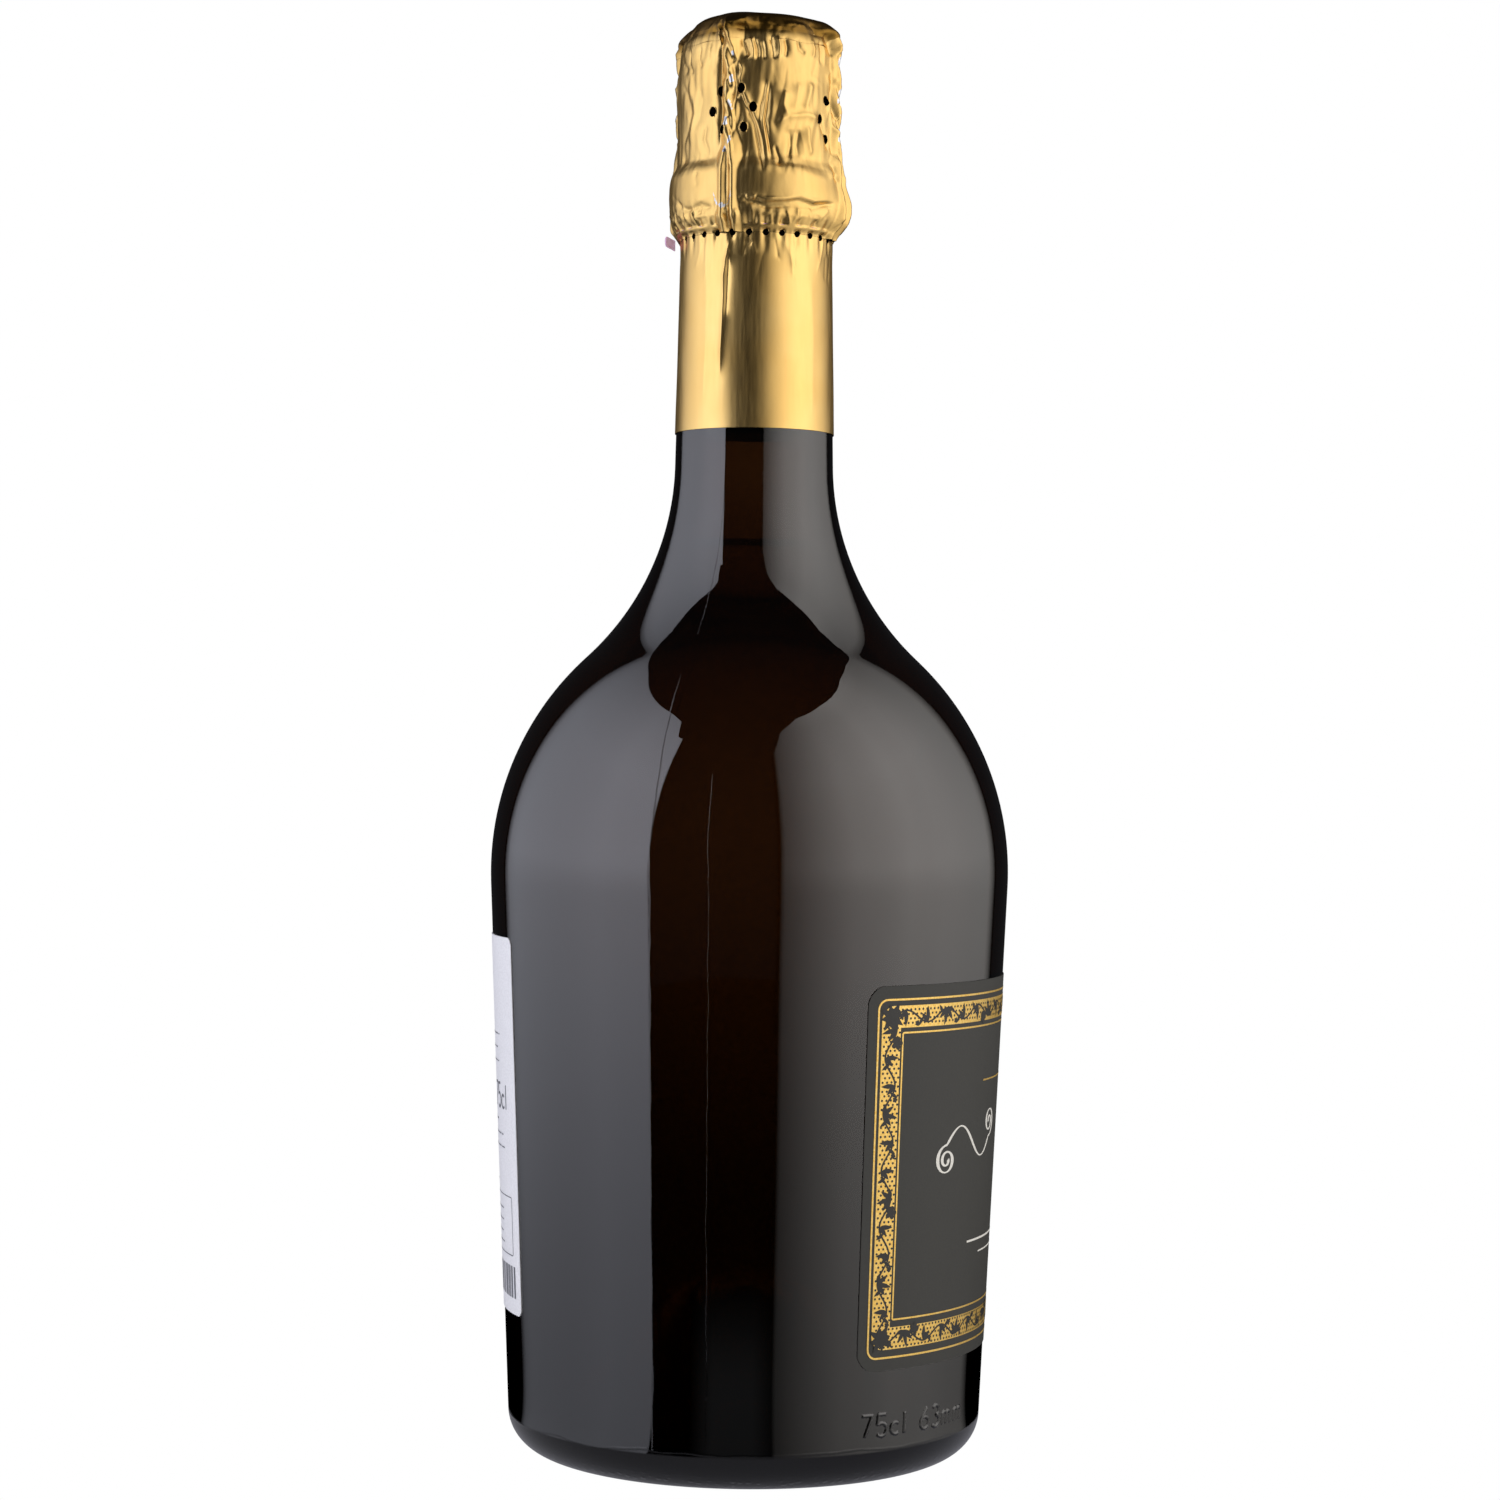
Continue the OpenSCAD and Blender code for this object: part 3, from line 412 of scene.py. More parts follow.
# Bottle glass: very dark brown, so the light through two walls is a dim warm brown and the
# eye mostly sees sharp reflections that bend a little with the waviness of moulded glass
def glassMaterial():
    material, tree, main = shader("bottle glass", Base_Color=linear("#ffffff"), Roughness=0.0,
                                  IOR=1.52, Transmission_Weight=1.0, Specular_IOR_Level=1.0,
                                  Coat_Weight=1.0, Coat_IOR=1.5, Coat_Roughness=0.0)
    slow = grain(tree, place(tree, (1, 1, 0.4)), 15, 0.0)
    swell = bumped(tree, main, slow, 0.085)
    fine = grain(tree, place(tree, (1, 1, 0.6)), 3.5, 0.0)
    ripple = bumped(tree, main, fine, 0.006, swell)
    m = mould
    azimuth, height = azimuthNode(tree)
    wander = grain(tree, place(tree, (0, 0, 1)), 14, 3.0)
    turned = maths(tree, "ADD", azimuth, ramp(tree, wander, 0.3, 0.7, -m["waver"], m["waver"]))
    away = maths(tree, "ABSOLUTE", maths(tree, "SUBTRACT", turned, m["seamMiddle"]))
    seam = lineAt(tree, away, m["seamApart"], m["seamHalf"])
    line = maths(tree, "MULTIPLY", lineAt(tree, turned, m["faint"], m["faintHalf"]),
                 heightShare(tree, height, m["faintTop"], 1.0, 0.0))
    seam = maths(tree, "ADD", seam, maths(tree, "MULTIPLY", line, m["faintShare"]))
    bodyOnly = maths(tree, "MULTIPLY", heightShare(tree, height, m["seamFoot"], 0.0, 1.0),
                     heightShare(tree, height, m["seamTop"], 1.0, m["seamAbove"]))
    ridge = bumped(tree, main, maths(tree, "MULTIPLY", seam, bodyOnly), m["seamDepth"], ripple)
    level = addNode(tree, "ShaderNodeTexNoise", Vector=place(tree, (1, 1, 0)), Scale=60.0, Detail=3.0)
    swing = ramp(tree, level.outputs["Fac"], 0.3, 0.7, -m["plateSwing"] * mm, m["plateSwing"] * mm)
    plate = lineAt(tree, maths(tree, "ADD", height, swing), m["plate"] * mm, m["plateHalf"] * mm)
    heel = bumped(tree, main, plate, m["plateDepth"], ridge)
    cells = addNode(tree, "ShaderNodeTexVoronoi", Vector=place(tree), Scale=1 / (m["knurl"] * mm),
                    Randomness=0.35)
    dots = maths(tree, "MULTIPLY", ramp(tree, cells.outputs["Distance"], 0.15, 0.42, 1.0, 0.0, True),
                 heightShare(tree, height, m["knurlTop"], 1.0, 0.0))
    bumped(tree, main, dots, m["knurlDepth"], heel)
    # Painted shade: the glass's colour darkens towards the base, so less light comes through there
    paintedShade = ramp(tree, height, 0.05, 0.124, 0.33, 1.0)
    grey = addNode(tree, "ShaderNodeCombineColor", i0=paintedShade, i1=paintedShade, i2=paintedShade).outputs[0]
    tree.links.new(grey, main.inputs["Base Color"])
    absorb = addNode(tree, "ShaderNodeVolumeAbsorption", Color=(0.42, 0.26, 0.0, 1), Density=700.0)
    tree.links.new(absorb.outputs[0], tree.nodes["Material Output"].inputs["Volume"])
    return material


bottleGlass = glassMaterial()
bottle = lathe("bottleGlass", bottleOutline(), glass["columns"], bottleGlass, "glass")
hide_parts("bottle")


# Round stroke of a numeral: points on a circle from one angle to another
def bow(x, y, radius, first, last):
    turns = np.radians(np.linspace(first, last, 14))
    return np.stack([x + radius * np.cos(turns), y + radius * np.sin(turns)], -1)


# Strokes of plain numerals and of the units that a container bears, in a cell one unit high
numerals = {
    "7": (0.6, [np.array([(0, 1), (0.56, 1), (0.18, 0)])]),
    "5": (0.62, [np.vstack([[(0.52, 1), (0.09, 1), (0.05, 0.56)], bow(0.27, 0.3, 0.3, 125, -140)])]),
    "6": (0.62, [np.vstack([[(0.44, 1), (0.14, 0.62)], bow(0.28, 0.29, 0.28, 165, 515)])]),
    "3": (0.6, [np.vstack([bow(0.26, 0.76, 0.24, 150, -80), bow(0.26, 0.27, 0.27, 80, -150)])]),
    "c": (0.52, [bow(0.26, 0.29, 0.27, 45, 315)]),
    "l": (0.2, [np.array([(0.06, 1), (0.06, 0)])]),
    "m": (0.84, [np.array([(0, 0.6), (0, 0)]), np.vstack([bow(0.17, 0.42, 0.17, 180, 0), [(0.34, 0)]]),
                 np.vstack([bow(0.51, 0.42, 0.17, 180, 0), [(0.68, 0)]])]),
    " ": (0.5, []),
}


# Strokes of a mark written from a place [mm along the wall, height], with letters of a given size
def strokesOf(mark, along, low, size, spacing=0.14):
    strokes = []
    for sign in mark:
        width, parts = numerals[sign]
        strokes += [part * size + (along, low) for part in parts]
        along += (width + spacing) * size
    return strokes


marks = {"text": "75cl 63mm", "turn": 208.0, "reach": 46.0, "low": 9.6, "size": 4.0,
         "spacing": 0.22, "half": 0.42, "high": 0.3, "sunk": 0.03}


# Raised marks near the heel: the volume and the fill height, as low round ridges of glass.
# Each ridge's height over the wall = high * cos(90 degrees * share of its half width) - sunk
def raisedMarks():
    across = np.linspace(-1, 1, 7)
    points, faces, base = [], [], 0
    for stroke in strokesOf(marks["text"], 0.0, marks["low"], marks["size"], marks["spacing"]):
        path = refined(stroke, 0.2)
        way = np.gradient(path, axis=0)
        way /= np.maximum(np.hypot(*way.T), 1e-9)[:, None]
        side = np.stack([-way[:, 1], way[:, 0]], -1)
        spread = path[:, None, :] + side[:, None, :] * across[None, :, None] * marks["half"]
        lift = marks["high"] * np.cos(np.pi / 2 * across) - marks["sunk"]
        ends = np.r_[0.2, np.ones(len(path) - 2), 0.2][:, None]
        radius = wallRadius(spread[..., 1]) + lift * ends
        turned = marks["turn"] + np.degrees(spread[..., 0] / marks["reach"])
        points.append(polar(radius, turned, spread[..., 1]).reshape(-1, 3))
        faces += (gridFaces(len(path), len(across), False)[:, ::-1] + base).tolist()
        base += spread.shape[0] * len(across)
    return meshObject("raisedMarks", np.vstack(points), faces, markGlass, "glass")


# The same glass where it is too thick for light to come through, so it is black but for the gloss
markGlass = shader("thick bottle glass", Base_Color=linear("#0b0a09"), Roughness=0.03, IOR=1.52,
                   Coat_Weight=1.0, Coat_IOR=1.5, Coat_Roughness=0.0)[0]
raisedMarks()


# Wine: clear pale gold, a little denser than water, so it bends the light behind the glass
def wineMaterial():
    material, tree, main = shader("wine", Base_Color=linear("#ffffff"), Roughness=0.0,
                                  IOR=1.345, Transmission_Weight=1.0)
    absorb = addNode(tree, "ShaderNodeVolumeAbsorption", Color=(0.93, 0.8, 0.35, 1), Density=6.0)
    tree.links.new(absorb.outputs[0], tree.nodes["Material Output"].inputs["Volume"])
    return material


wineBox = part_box("wine")
# The surface is a little below the CAD one, where the photograph has it. It climbs the wall:
# rise = climb * exp(-distance from the wall / fade)
surface = {"below": 2.4, "climb": 2.1, "fade": 0.8, "reach": 3.5, "gap": 0.1}
wineTop = wineBox[1].z / mm - surface["below"]
wineWall = innerOutline(surface["gap"])
wineWall = wineWall[wineWall[:, 1] < wineTop]
wineEdge = np.interp(wineTop + surface["climb"], *innerOutline(surface["gap"])[:, ::-1].T)
inward = np.linspace(0, surface["reach"], 15)
meniscus = np.stack([wineEdge - inward,
                     wineTop + surface["climb"] * np.exp(-inward / surface["fade"])], -1)
flatTop = refined(np.array([meniscus[-1], (0, wineTop)]), 3.0)[1:]
wineChain = np.vstack([refined(wineWall, 3.0), meniscus, flatTop])
wine = lathe("wine", wineChain, 192, wineMaterial(), "glass")
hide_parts("wine")
print("glass and wine made")


# Gold foil: lacquered aluminium, a bright metal with a satin spread, darker by painted shade
# where folds shade it; the attribute wear shows where the wires have rubbed it down to bare metal
def foilMaterial(name, satin, worn=False, dents=0.03, paintedShadeDim=1.0, paintedShadeCrown=None):
    material, tree, main = shader(name, Metallic=1.0, Roughness=satin)
    where = place(tree)
    tone = ramp(tree, grain(tree, where, 9, 2.0), 0.3, 0.7, 0.0, 1.0)
    # Painted shade: each piece of the one foil has its gold darkened by its own factor
    golds = [[c * paintedShadeDim for c in linear(code)[:3]] + [1.0] for code in ("#f3c878", "#f7cf82")]
    gold = mixed(tree, tone, *golds)
    # Painted shade on a crown: its gold turns dark brown the higher it is, standing in for deep folds that
    # shade one another, so it sends back less light
    if paintedShadeCrown:
        height = ownXyz(tree)[2]
        paintedShade = ramp(tree, height, paintedShadeCrown[0] * mm, paintedShadeCrown[1] * mm, 0.0, 1.0, True)
        gold = mixed(tree, paintedShade, gold, linear("#86652c"))
    streak = grain(tree, place(tree, (1, 1, 0.08)), 0.5, 2.0)
    tree.links.new(ramp(tree, streak, 0.3, 0.7, satin - 0.03, satin + 0.05), main.inputs["Roughness"])
    if worn:
        wear = addNode(tree, "ShaderNodeAttribute", {"attribute_name": "wear"}).outputs["Fac"]
        scratch = grain(tree, place(tree, (1, 1, 0.5)), 0.35, 3.0)
        bare = ramp(tree, maths(tree, "ADD", wear, maths(tree, "MULTIPLY", scratch, 0.5)),
                    0.72, 0.8, 0.0, 1.0)
        gold = mixed(tree, bare, gold, linear("#d6d9e2"))
    tree.links.new(gold, main.inputs["Base Color"])
    crumple = bumped(tree, main, grain(tree, where, 2.2, 2.0), dents)
    bumped(tree, main, grain(tree, where, 0.5, 1.0), 0.002, crumple)
    return material


# Furthest radius of the listed CAD nodes at each azimuth and height, by rays towards the axis
def coreRadius(names, azimuths, heights, far=26.0):
    vertices, polygons = [], []
    for name in names:
        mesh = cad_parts[name].data
        base = len(vertices)
        vertices += [v.co.copy() for v in mesh.vertices]
        polygons += [[base + k for k in p.vertices] for p in mesh.polygons]
    tree = BVHTree.FromPolygons(vertices, polygons)
    found = np.zeros((len(heights), len(azimuths)))
    for j, a in enumerate(np.radians(azimuths)):
        out = (math.cos(a), math.sin(a))
        for i, z in enumerate(heights):
            hit = tree.ray_cast((out[0] * far * mm, out[1] * far * mm, z * mm), (-out[0], -out[1], 0),
                                (far - 8) * mm)
            if hit[0] is not None:
                found[i, j] = math.hypot(hit[0].x, hit[0].y) / mm
    return found


# Foil drawn over what is under it: each point is at least as far out as any neighbour's
# radius less a slope times the distance to it
def draped(field, du, dz, slopeU, slopeZ, reach):
    out = field.copy()
    for _ in range(reach):
        out = np.maximum(out, np.maximum(np.roll(out, 1, 1), np.roll(out, -1, 1)) - slopeU * du)
    for _ in range(reach):
        out[1:] = np.maximum(out[1:], out[:-1] - slopeZ * dz)
        out[:-1] = np.maximum(out[:-1], out[1:] - slopeZ * dz)
    return out


def blurred(field, passes):
    for _ in range(passes):
        field = (np.roll(field, 1, 1) + 2 * field + np.roll(field, -1, 1)) / 4
        padded = np.pad(field, ((1, 1), (0, 0)), "edge")
        field = (padded[:-2] + 2 * field + padded[2:]) / 4
    return field


foil = {
    "thick": 0.12, "tear": 232.7, "hoodTop": 271.9, "columns": 600, "rows": 150,
    "holes": 29, "firstHole": 174.3, "holeR": 0.6, "gap": 0.03,
    "ventR": 0.78, "ventRing": 4.25, "ventReach": 16.1, "ventTall": 1.25, "ventTurn": 4, "ventMargin": 0.25,
    "vents": [(161.4, 256.0), (244.3, 255.3), (333.0, 255.8), (71.0, 255.4)],
    "legs": [160, 250, 340, 70],
}
# Heights, and the radius of the foil where no wire lifts it
valley = np.array([
    (232.7, 14.48), (233.3, 14.75), (234.2, 15.35), (235.2, 15.95), (236.4, 16.4), (237.4, 16.55),
    (238.2, 16.75), (241.0, 16.9), (244.3, 16.8), (245.2, 16.5), (246.2, 15.7), (247.2, 15.4),
    (249.0, 15.35), (256.0, 15.4), (264.0, 15.35), (268.5, 15.0), (270.5, 14.5), (272.4, 13.3)])

azimuths = np.arange(foil["columns"]) * 360 / foil["columns"]
hoodTall = foil["hoodTop"] - foil["tear"]
heights = foil["tear"] + hoodTall * (np.arange(foil["rows"]) / (foil["rows"] - 1))
hoodU, hoodZ = np.meshgrid(azimuths, heights)
wires = coreRadius(["cage_wire", "belt_wire", "twist_key"], azimuths, heights)
inner = coreRadius(["cork_body", "plaque"], azimuths[::60], heights).max(1)
neckWall = outerWall[outerWall[:, 1] > 150][:, ::-1]
inner = np.maximum(inner, np.interp(heights, *neckWall.T, right=0))[:, None]
du = 2 * np.pi * 16.0 / foil["columns"]
dz = heights[1] - heights[0]
covered = np.maximum(np.where(wires > 0, wires + foil["thick"], 0), inner + 0.06)
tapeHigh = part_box("tear_tape")[1].z / mm
tapeR = coreRadius(["tear_tape"], azimuths[::60], heights).max(1)
base = np.maximum(np.interp(hoodZ, valley[:, 0], valley[:, 1]), covered)
tent = draped(base, du, dz, 0.95, 0.6, 26)
tent = np.maximum(blurred(tent, 2), covered)
contact = np.clip(1 - (tent - wires - foil["thick"]) / 0.06, 0, 1) * (wires > 0)

# Folds beside and over the leg nearest the camera, as the photograph shows them: width, rise
# and path; the other legs get the same ones, turned
legFolds = [
    (0.35, -0.38, [(148.9, 273.9), (155.0, 270.5), (152.8, 267.8), (152.2, 264.3), (152.5, 260.5),
            (154.0, 257.0), (153.0, 252.5), (152.0, 248.0)]),
    (0.35, 0.35, [(153.8, 273.5), (158.2, 270.0), (163.1, 267.5), (164.8, 265.2), (160.2, 263.0),
            (158.2, 261.1), (160.9, 259.2), (157.6, 256.6), (160.4, 254.6), (156.3, 252.4),
            (159.6, 250.1), (156.9, 247.8)]),
    (0.4, -0.45, [(161.6, 267.2), (163.0, 264.1), (165.1, 260.6), (163.5, 256.9), (162.7, 253.8),
            (161.5, 250.1), (164.7, 246.9)]),
    (0.35, 0.3, [(164.8, 265.6), (168.8, 263.4), (166.9, 261.2), (170.2, 258.7), (173.1, 255.2)]),
    (0.4, 0.35, [(145.3, 273.4), (150.5, 269.8), (155.2, 266.9), (159.1, 264.2)]),
    (0.5, -0.5, [(150.9, 274.3), (150.5, 272.8), (152.4, 271.0), (155.2, 268.9)]),
    (0.45, 0.4, [(154.4, 274.2), (155.4, 272.2), (158.2, 270.0)]),
]
# The other folds of the side that the photograph shows
seenFolds = [
    (0.4, -0.4, [(167.3, 259.3), (171.7, 256.4), (177.3, 253.3), (180.2, 249.9), (182.7, 246.0),
            (183.6, 243.3)]),
    (0.35, 0.2, [(170.1, 259.8), (174.7, 256.4), (180.1, 252.9), (183.2, 249.9), (185.6, 246.0)]),
    (0.35, -0.3, [(185.5, 261.5), (184.0, 258.6), (181.7, 256.4), (181.1, 253.7)]),
    (0.35, -0.35, [(188.3, 261.5), (186.8, 257.5), (185.0, 253.7), (187.8, 249.9), (189.9, 246.1)]),
    (0.35, 0.3, [(186.6, 261.5), (185.4, 257.9), (183.3, 253.7), (185.7, 249.9), (188.0, 246.1)]),
    (0.35, -0.25, [(192.0, 249.2), (195.2, 246.5), (193.4, 244.9)]),
    (0.4, -0.35, [(167.1, 269.4), (170.3, 267.4), (172.6, 265.5)]),
    (0.4, -0.35, [(176.5, 269.8), (179.2, 267.4), (179.6, 265.1)]),
    (0.35, 0.25, [(173.6, 269.8), (176.4, 267.4), (176.5, 265.1)]),
    (0.35, -0.3, [(182.0, 269.0), (183.7, 267.0), (183.7, 265.1)]),
    (0.35, -0.35, [(188.8, 270.0), (190.2, 267.4), (191.0, 265.2)]),
    (0.4, 0.3, [(194.0, 270.1), (195.1, 267.5), (193.9, 265.6)]),
    (0.4, -0.3, [(199.3, 270.0), (201.0, 267.6), (199.7, 265.7)]),
    (0.4, -0.25, [(209.7, 269.8), (211.3, 267.9), (216.3, 266.9)]),
    (0.4, 0.25, [(223.0, 270.3), (224.1, 268.3), (222.3, 266.3)]),
    (0.4, -0.2, [(231.8, 270.3), (232.0, 267.9), (230.0, 265.5)]),
    (0.9, 0.34, [(199.5, 259.9), (197.8, 256.9), (201.1, 254.7)]),
    (0.9, 0.3, [(210.1, 261.7), (208.6, 258.6), (205.9, 255.5)]),
    (0.9, 0.34, [(220.5, 262.0), (217.8, 258.9), (213.9, 256.1)]),
    (0.9, 0.5, [(191.1, 253.0), (201.1, 254.7), (217.0, 255.4), (228.5, 254.7)]),
    (0.7, -0.32, [(202.7, 252.4), (204.3, 249.4), (202.0, 246.7)]),
    (0.7, -0.32, [(210.4, 252.6), (209.0, 249.5), (210.7, 246.9)]),
    (0.7, 0.3, [(217.1, 253.6), (218.1, 250.5), (222.1, 247.6)]),
    (0.4, -0.35, [(228.5, 256.2), (231.2, 254.1), (237.9, 251.3), (241.2, 249.1)]),
    (0.4, -0.35, [(240.9, 259.9), (246.1, 257.0), (252.2, 254.3), (261.9, 252.4)]),
    (0.4, 0.35, [(236.7, 259.7), (240.9, 256.8), (244.9, 253.9), (255.3, 252.1)]),
    (0.4, -0.3, [(252.8, 265.1), (248.5, 261.8), (258.0, 259.2), (261.9, 256.3)]),
    (0.4, -0.35, [(239.0, 245.1), (245.7, 243.1), (248.7, 240.9), (242.9, 239.1)]),
    (0.8, -0.2, [(98.1, 269.8), (107.9, 267.0), (120.8, 263.6)]),
    (0.9, -0.22, [(110.9, 262.6), (121.0, 259.0), (124.6, 256.2), (120.0, 253.3), (113.1, 250.2)]),
    (0.9, 0.2, [(119.6, 262.1), (126.7, 258.7), (129.8, 255.9), (126.0, 253.0), (121.1, 250.2)]),
    (0.8, -0.16, [(131.3, 261.2), (136.3, 258.4), (134.6, 255.7), (131.7, 252.8)]),
    (0.4, -0.2, [(132.8, 268.9), (131.9, 266.2), (135.7, 264.1)]),
    (0.4, -0.25, [(121.0, 268.6), (119.7, 266.0), (126.0, 263.4)]),
    (0.5, -0.2, [(141.3, 253.6), (138.8, 250.6), (143.2, 247.4)]),
    (0.4, -0.3, [(136.2, 244.5), (135.3, 243.0), (137.4, 241.4)]),
    (0.4, -0.3, [(106.6, 240.8), (115.7, 239.6), (121.0, 237.8)]),
    (0.5, -0.7, [(167.1, 237.5), (172.9, 238.4), (179.4, 238.1), (185.8, 237.5), (197.5, 237.8),
            (208.6, 238.5), (219.7, 237.9), (242.7, 239.5)]),
    (0.5, 0.4, [(167.1, 238.7), (172.9, 239.5), (179.4, 239.2), (185.8, 238.7), (197.5, 238.9),
            (208.6, 239.7), (219.7, 239.1), (242.7, 240.5)]),
    (0.5, -0.4, [(118, 238.2), (128, 237.4), (140, 237.9), (150, 237.2)]),
    (0.4, 0.3, [(172.3, 239.0), (175.5, 239.5), (179.3, 238.9)]),
    (1.3, -0.25, [(109.0, 248.0), (133.3, 247.0), (150.8, 246.8)]),
    (1.3, -0.25, [(189.6, 245.7), (209.4, 245.8), (239.0, 245.1)]),
]


def hoodFolds():
    total = np.zeros_like(hoodU)

    def fold(path, width, rise):
        addFold(total, azimuths, heights, path, width, rise)

    for width, rise, path in seenFolds:
        fold(path, width, 1.4 * rise)
    for k, leg in enumerate(foil["legs"]):
        for width, rise, path in legFolds:
            path = np.array(path) - (160, 0)
            if k:
                path = path * (draw.choice([-1, 1]), 1) + draw.normal(0, (1.4, 0.5), path.shape)
            fold(path + (leg, 0), width, rise * (1.25, 0.5, 1, 1)[k])
    # The rest is random: long folds down the sides, pleats under the rim and in the crimp
    for count, low, high, lean, short, longest, swing, small, large in (
            (70, 247, 268, 12, 5, 17, 0.35, 0.05, 0.22), (64, 267, 270.5, 8, 3.5, 7, 0.15, 0.1, 0.3),
            (90, 234.5, 237, 20, 2, 4.5, 0.15, 0.12, 0.32), (54, 244.6, 247.5, 22, 1.5, 4, 0.15, 0.08, 0.22),
            (40, 246, 266, 60, 3, 8, 0.3, 0.05, 0.14)):
        for _ in range(count):
            azimuth = draw.uniform(0, 360)
            # The side of the photograph has its own folds, so the random ones stay faint there
            seen = 100 < azimuth < 240 and low > 240
            height = draw.uniform(low, high)
            leaning = draw.normal(0, lean)
            path = wandering(azimuth, height, leaning, draw.uniform(short, longest), swing)
            rise = draw.choice([-1, 1]) * draw.uniform(small, large) * (0.35 if seen else 1)
            fold(path, draw.uniform(0.25, 0.6), rise)
    return total


# Pleats of the hem, one turn of angle for each tear hole, that fade out above the crimp:
# depth * fade * (cos(angle) + 0.4 * cos(2 * angle + 0.8))
def hemPleats(azimuth, height, low, high, depth):
    turns = np.radians((azimuth - foil["firstHole"]) * foil["holes"])
    fade = 1 - ease(height, low, high)
    return depth * fade * (np.cos(turns) + 0.4 * np.cos(2 * turns + 0.8))


ringBand = ease(hoodZ, 238.6, 239.6) * (1 - ease(hoodZ, 243.2, 244.6))
relief = hoodFolds() + 0.09 * waves(hoodU, hoodZ, 26, (4, 13), (9, 40)) \
    + 0.03 * waves(hoodU, hoodZ, 30, (20, 60), (6, 30))
relief = relief * (1 - 0.75 * ringBand) * ease(hoodZ, 232.8, 234.4)
relief = relief + 0.05 * ringBand * waves(hoodU, hoodZ, 12, (3, 12), (14, 60))
# On the photograph's right the hem stands further off the neck:
# out * exp(-(azimuth from the middle / spread) squared), rising from the tear line to the ring
standOff = {"out": 1.5, "middle": 262, "spread": 26}
sideways = standOff["out"] * np.exp(-(azimuthGap(hoodU, standOff["middle"]) / standOff["spread"]) ** 2)
relief = relief + sideways * ease(hoodZ, 233, 238) \
    * (1 - 0.9 * ease(hoodZ, 239, 244) - 0.1 * ease(hoodZ, 244, 256))
relief = relief - hemPleats(hoodU, hoodZ, 233.6, 237.4, 0.2)
hoodR = np.maximum(tent + relief, covered)
hoodR = np.maximum(hoodR, np.where((heights > foil["tear"] + 0.7) & (tapeR > 0), tapeR + 0.05, 0)[:, None])


# Half holes: the edge steps back by a half circle at each tear hole
def holeEdge(azimuth, radius):
    pitch = 360 / foil["holes"]
    offset = ((azimuth - foil["firstHole"] + pitch / 2) % pitch - pitch / 2) * radius * np.pi / 180
    return np.sqrt(np.maximum(foil["holeR"] ** 2 - offset ** 2, 0))


hemStep = foil["gap"] / 2 + holeEdge(hoodU, 14.8)
hoodHeight = np.maximum(hoodZ, foil["tear"] + hemStep + (hoodZ - foil["tear"]) * 0.02)

# The foil has worn through on the twisted legs, and where the nearest eye turns under the ring
eye = {"turn": 157, "half": 6.6, "low": 237.5, "climb": 2.6, "wide": 0.36, "swing": 0.3, "waves": 67}
eyeGap = azimuthGap(hoodU, eye["turn"])
eyeLine = hoodZ - eye["low"] - eye["climb"] * (eyeGap / eye["half"]) ** 4
footWear = (np.abs(eyeGap) < eye["half"]) * (
    np.abs(eyeLine) < eye["wide"] + eye["swing"] * np.sin(np.radians(hoodU * eye["waves"])))
wear = contact * ease(waves(hoodU, hoodZ, 22, (20, 50), (3, 9)), 0.2, 1.0)
wear = np.maximum(wear * (hoodZ > 247.5), 0.62 * footWear)

# The vent holes: azimuth of the group, mm across from it and height, six on a ring at each
def ventMiddles():
    middles = []
    for azimuth, z in foil["vents"]:
        for k in range(6):
            around = math.radians(60 * k + foil["ventTurn"])
            across = foil["ventRing"] * math.cos(around)
            middles.append((azimuth, across, z + foil["ventRing"] * math.sin(around)))
    return middles


# Vent holes: points near a hole's rim slide onto it, and the faces inside are left out
faces = gridFaces(foil["rows"], foil["columns"])
inside = np.zeros(hoodU.shape, bool)
slidU, slidZ = hoodU.copy(), hoodHeight.copy()
for azimuth, across, midZ in ventMiddles():
    midU = azimuth + math.degrees(across / foil["ventReach"])
    x = np.radians(azimuthGap(slidU, midU)) * foil["ventReach"]
    y = (slidZ - midZ) / foil["ventTall"]
    d = np.hypot(x, y)
    rim = np.abs(d - foil["ventR"]) < 0.6 * dz
    pull = np.where(rim, foil["ventR"] / np.maximum(d, 1e-6), 1.0) - 1
    slidU = slidU + np.degrees(pull * x / foil["ventReach"])
    slidZ = slidZ + pull * y * foil["ventTall"]
    inside |= (d < foil["ventR"]) & ~rim
kept = faces[~inside.ravel()[faces].any(1)]
hoodFoil = foilMaterial("hood foil", 0.33, worn=True, dents=0.045, paintedShadeDim=0.84)
hood = meshObject("hoodFoil", polar(hoodR + foil["thick"], slidU, slidZ), kept, hoodFoil, "hood",
                  {"wear": wear})
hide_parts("capsule_hood")


# Painted shade: a black material put where no light falls, in the gaps under the foil
paintedShadeBlack = shader("unlit gap", Base_Color=linear("#060504"), Roughness=1.0,
                  Specular_IOR_Level=0.0)[0]


# Painted shade under each vent: a small black disc below the lowest foil round the hole, where no light falls
def ventShade():
    ring = np.radians(np.arange(10) * 36)
    reach = foil["ventR"] + foil["ventMargin"]
    points, faces, base = [], [], 0
    for azimuth, across, midZ in ventMiddles():
        u = azimuth + np.degrees((across + np.r_[0, reach * np.cos(ring)]) / foil["ventReach"])
        v = midZ + np.r_[0, foil["ventTall"] * reach * np.sin(ring)]
        col = np.round(u / (360 / foil["columns"])).astype(int) % foil["columns"]
        row = np.clip(np.round((v - foil["tear"]) / dz).astype(int), 0, foil["rows"] - 1)
        points.append(polar(hoodR[row, col].min() - 0.05, u, v))
        faces += [[base, base + 1 + j, base + 1 + (j + 1) % 10] for j in range(10)]
        base += 11
    return meshObject("ventShade", np.vstack(points), faces, paintedShadeBlack, "hood")


ventShade()

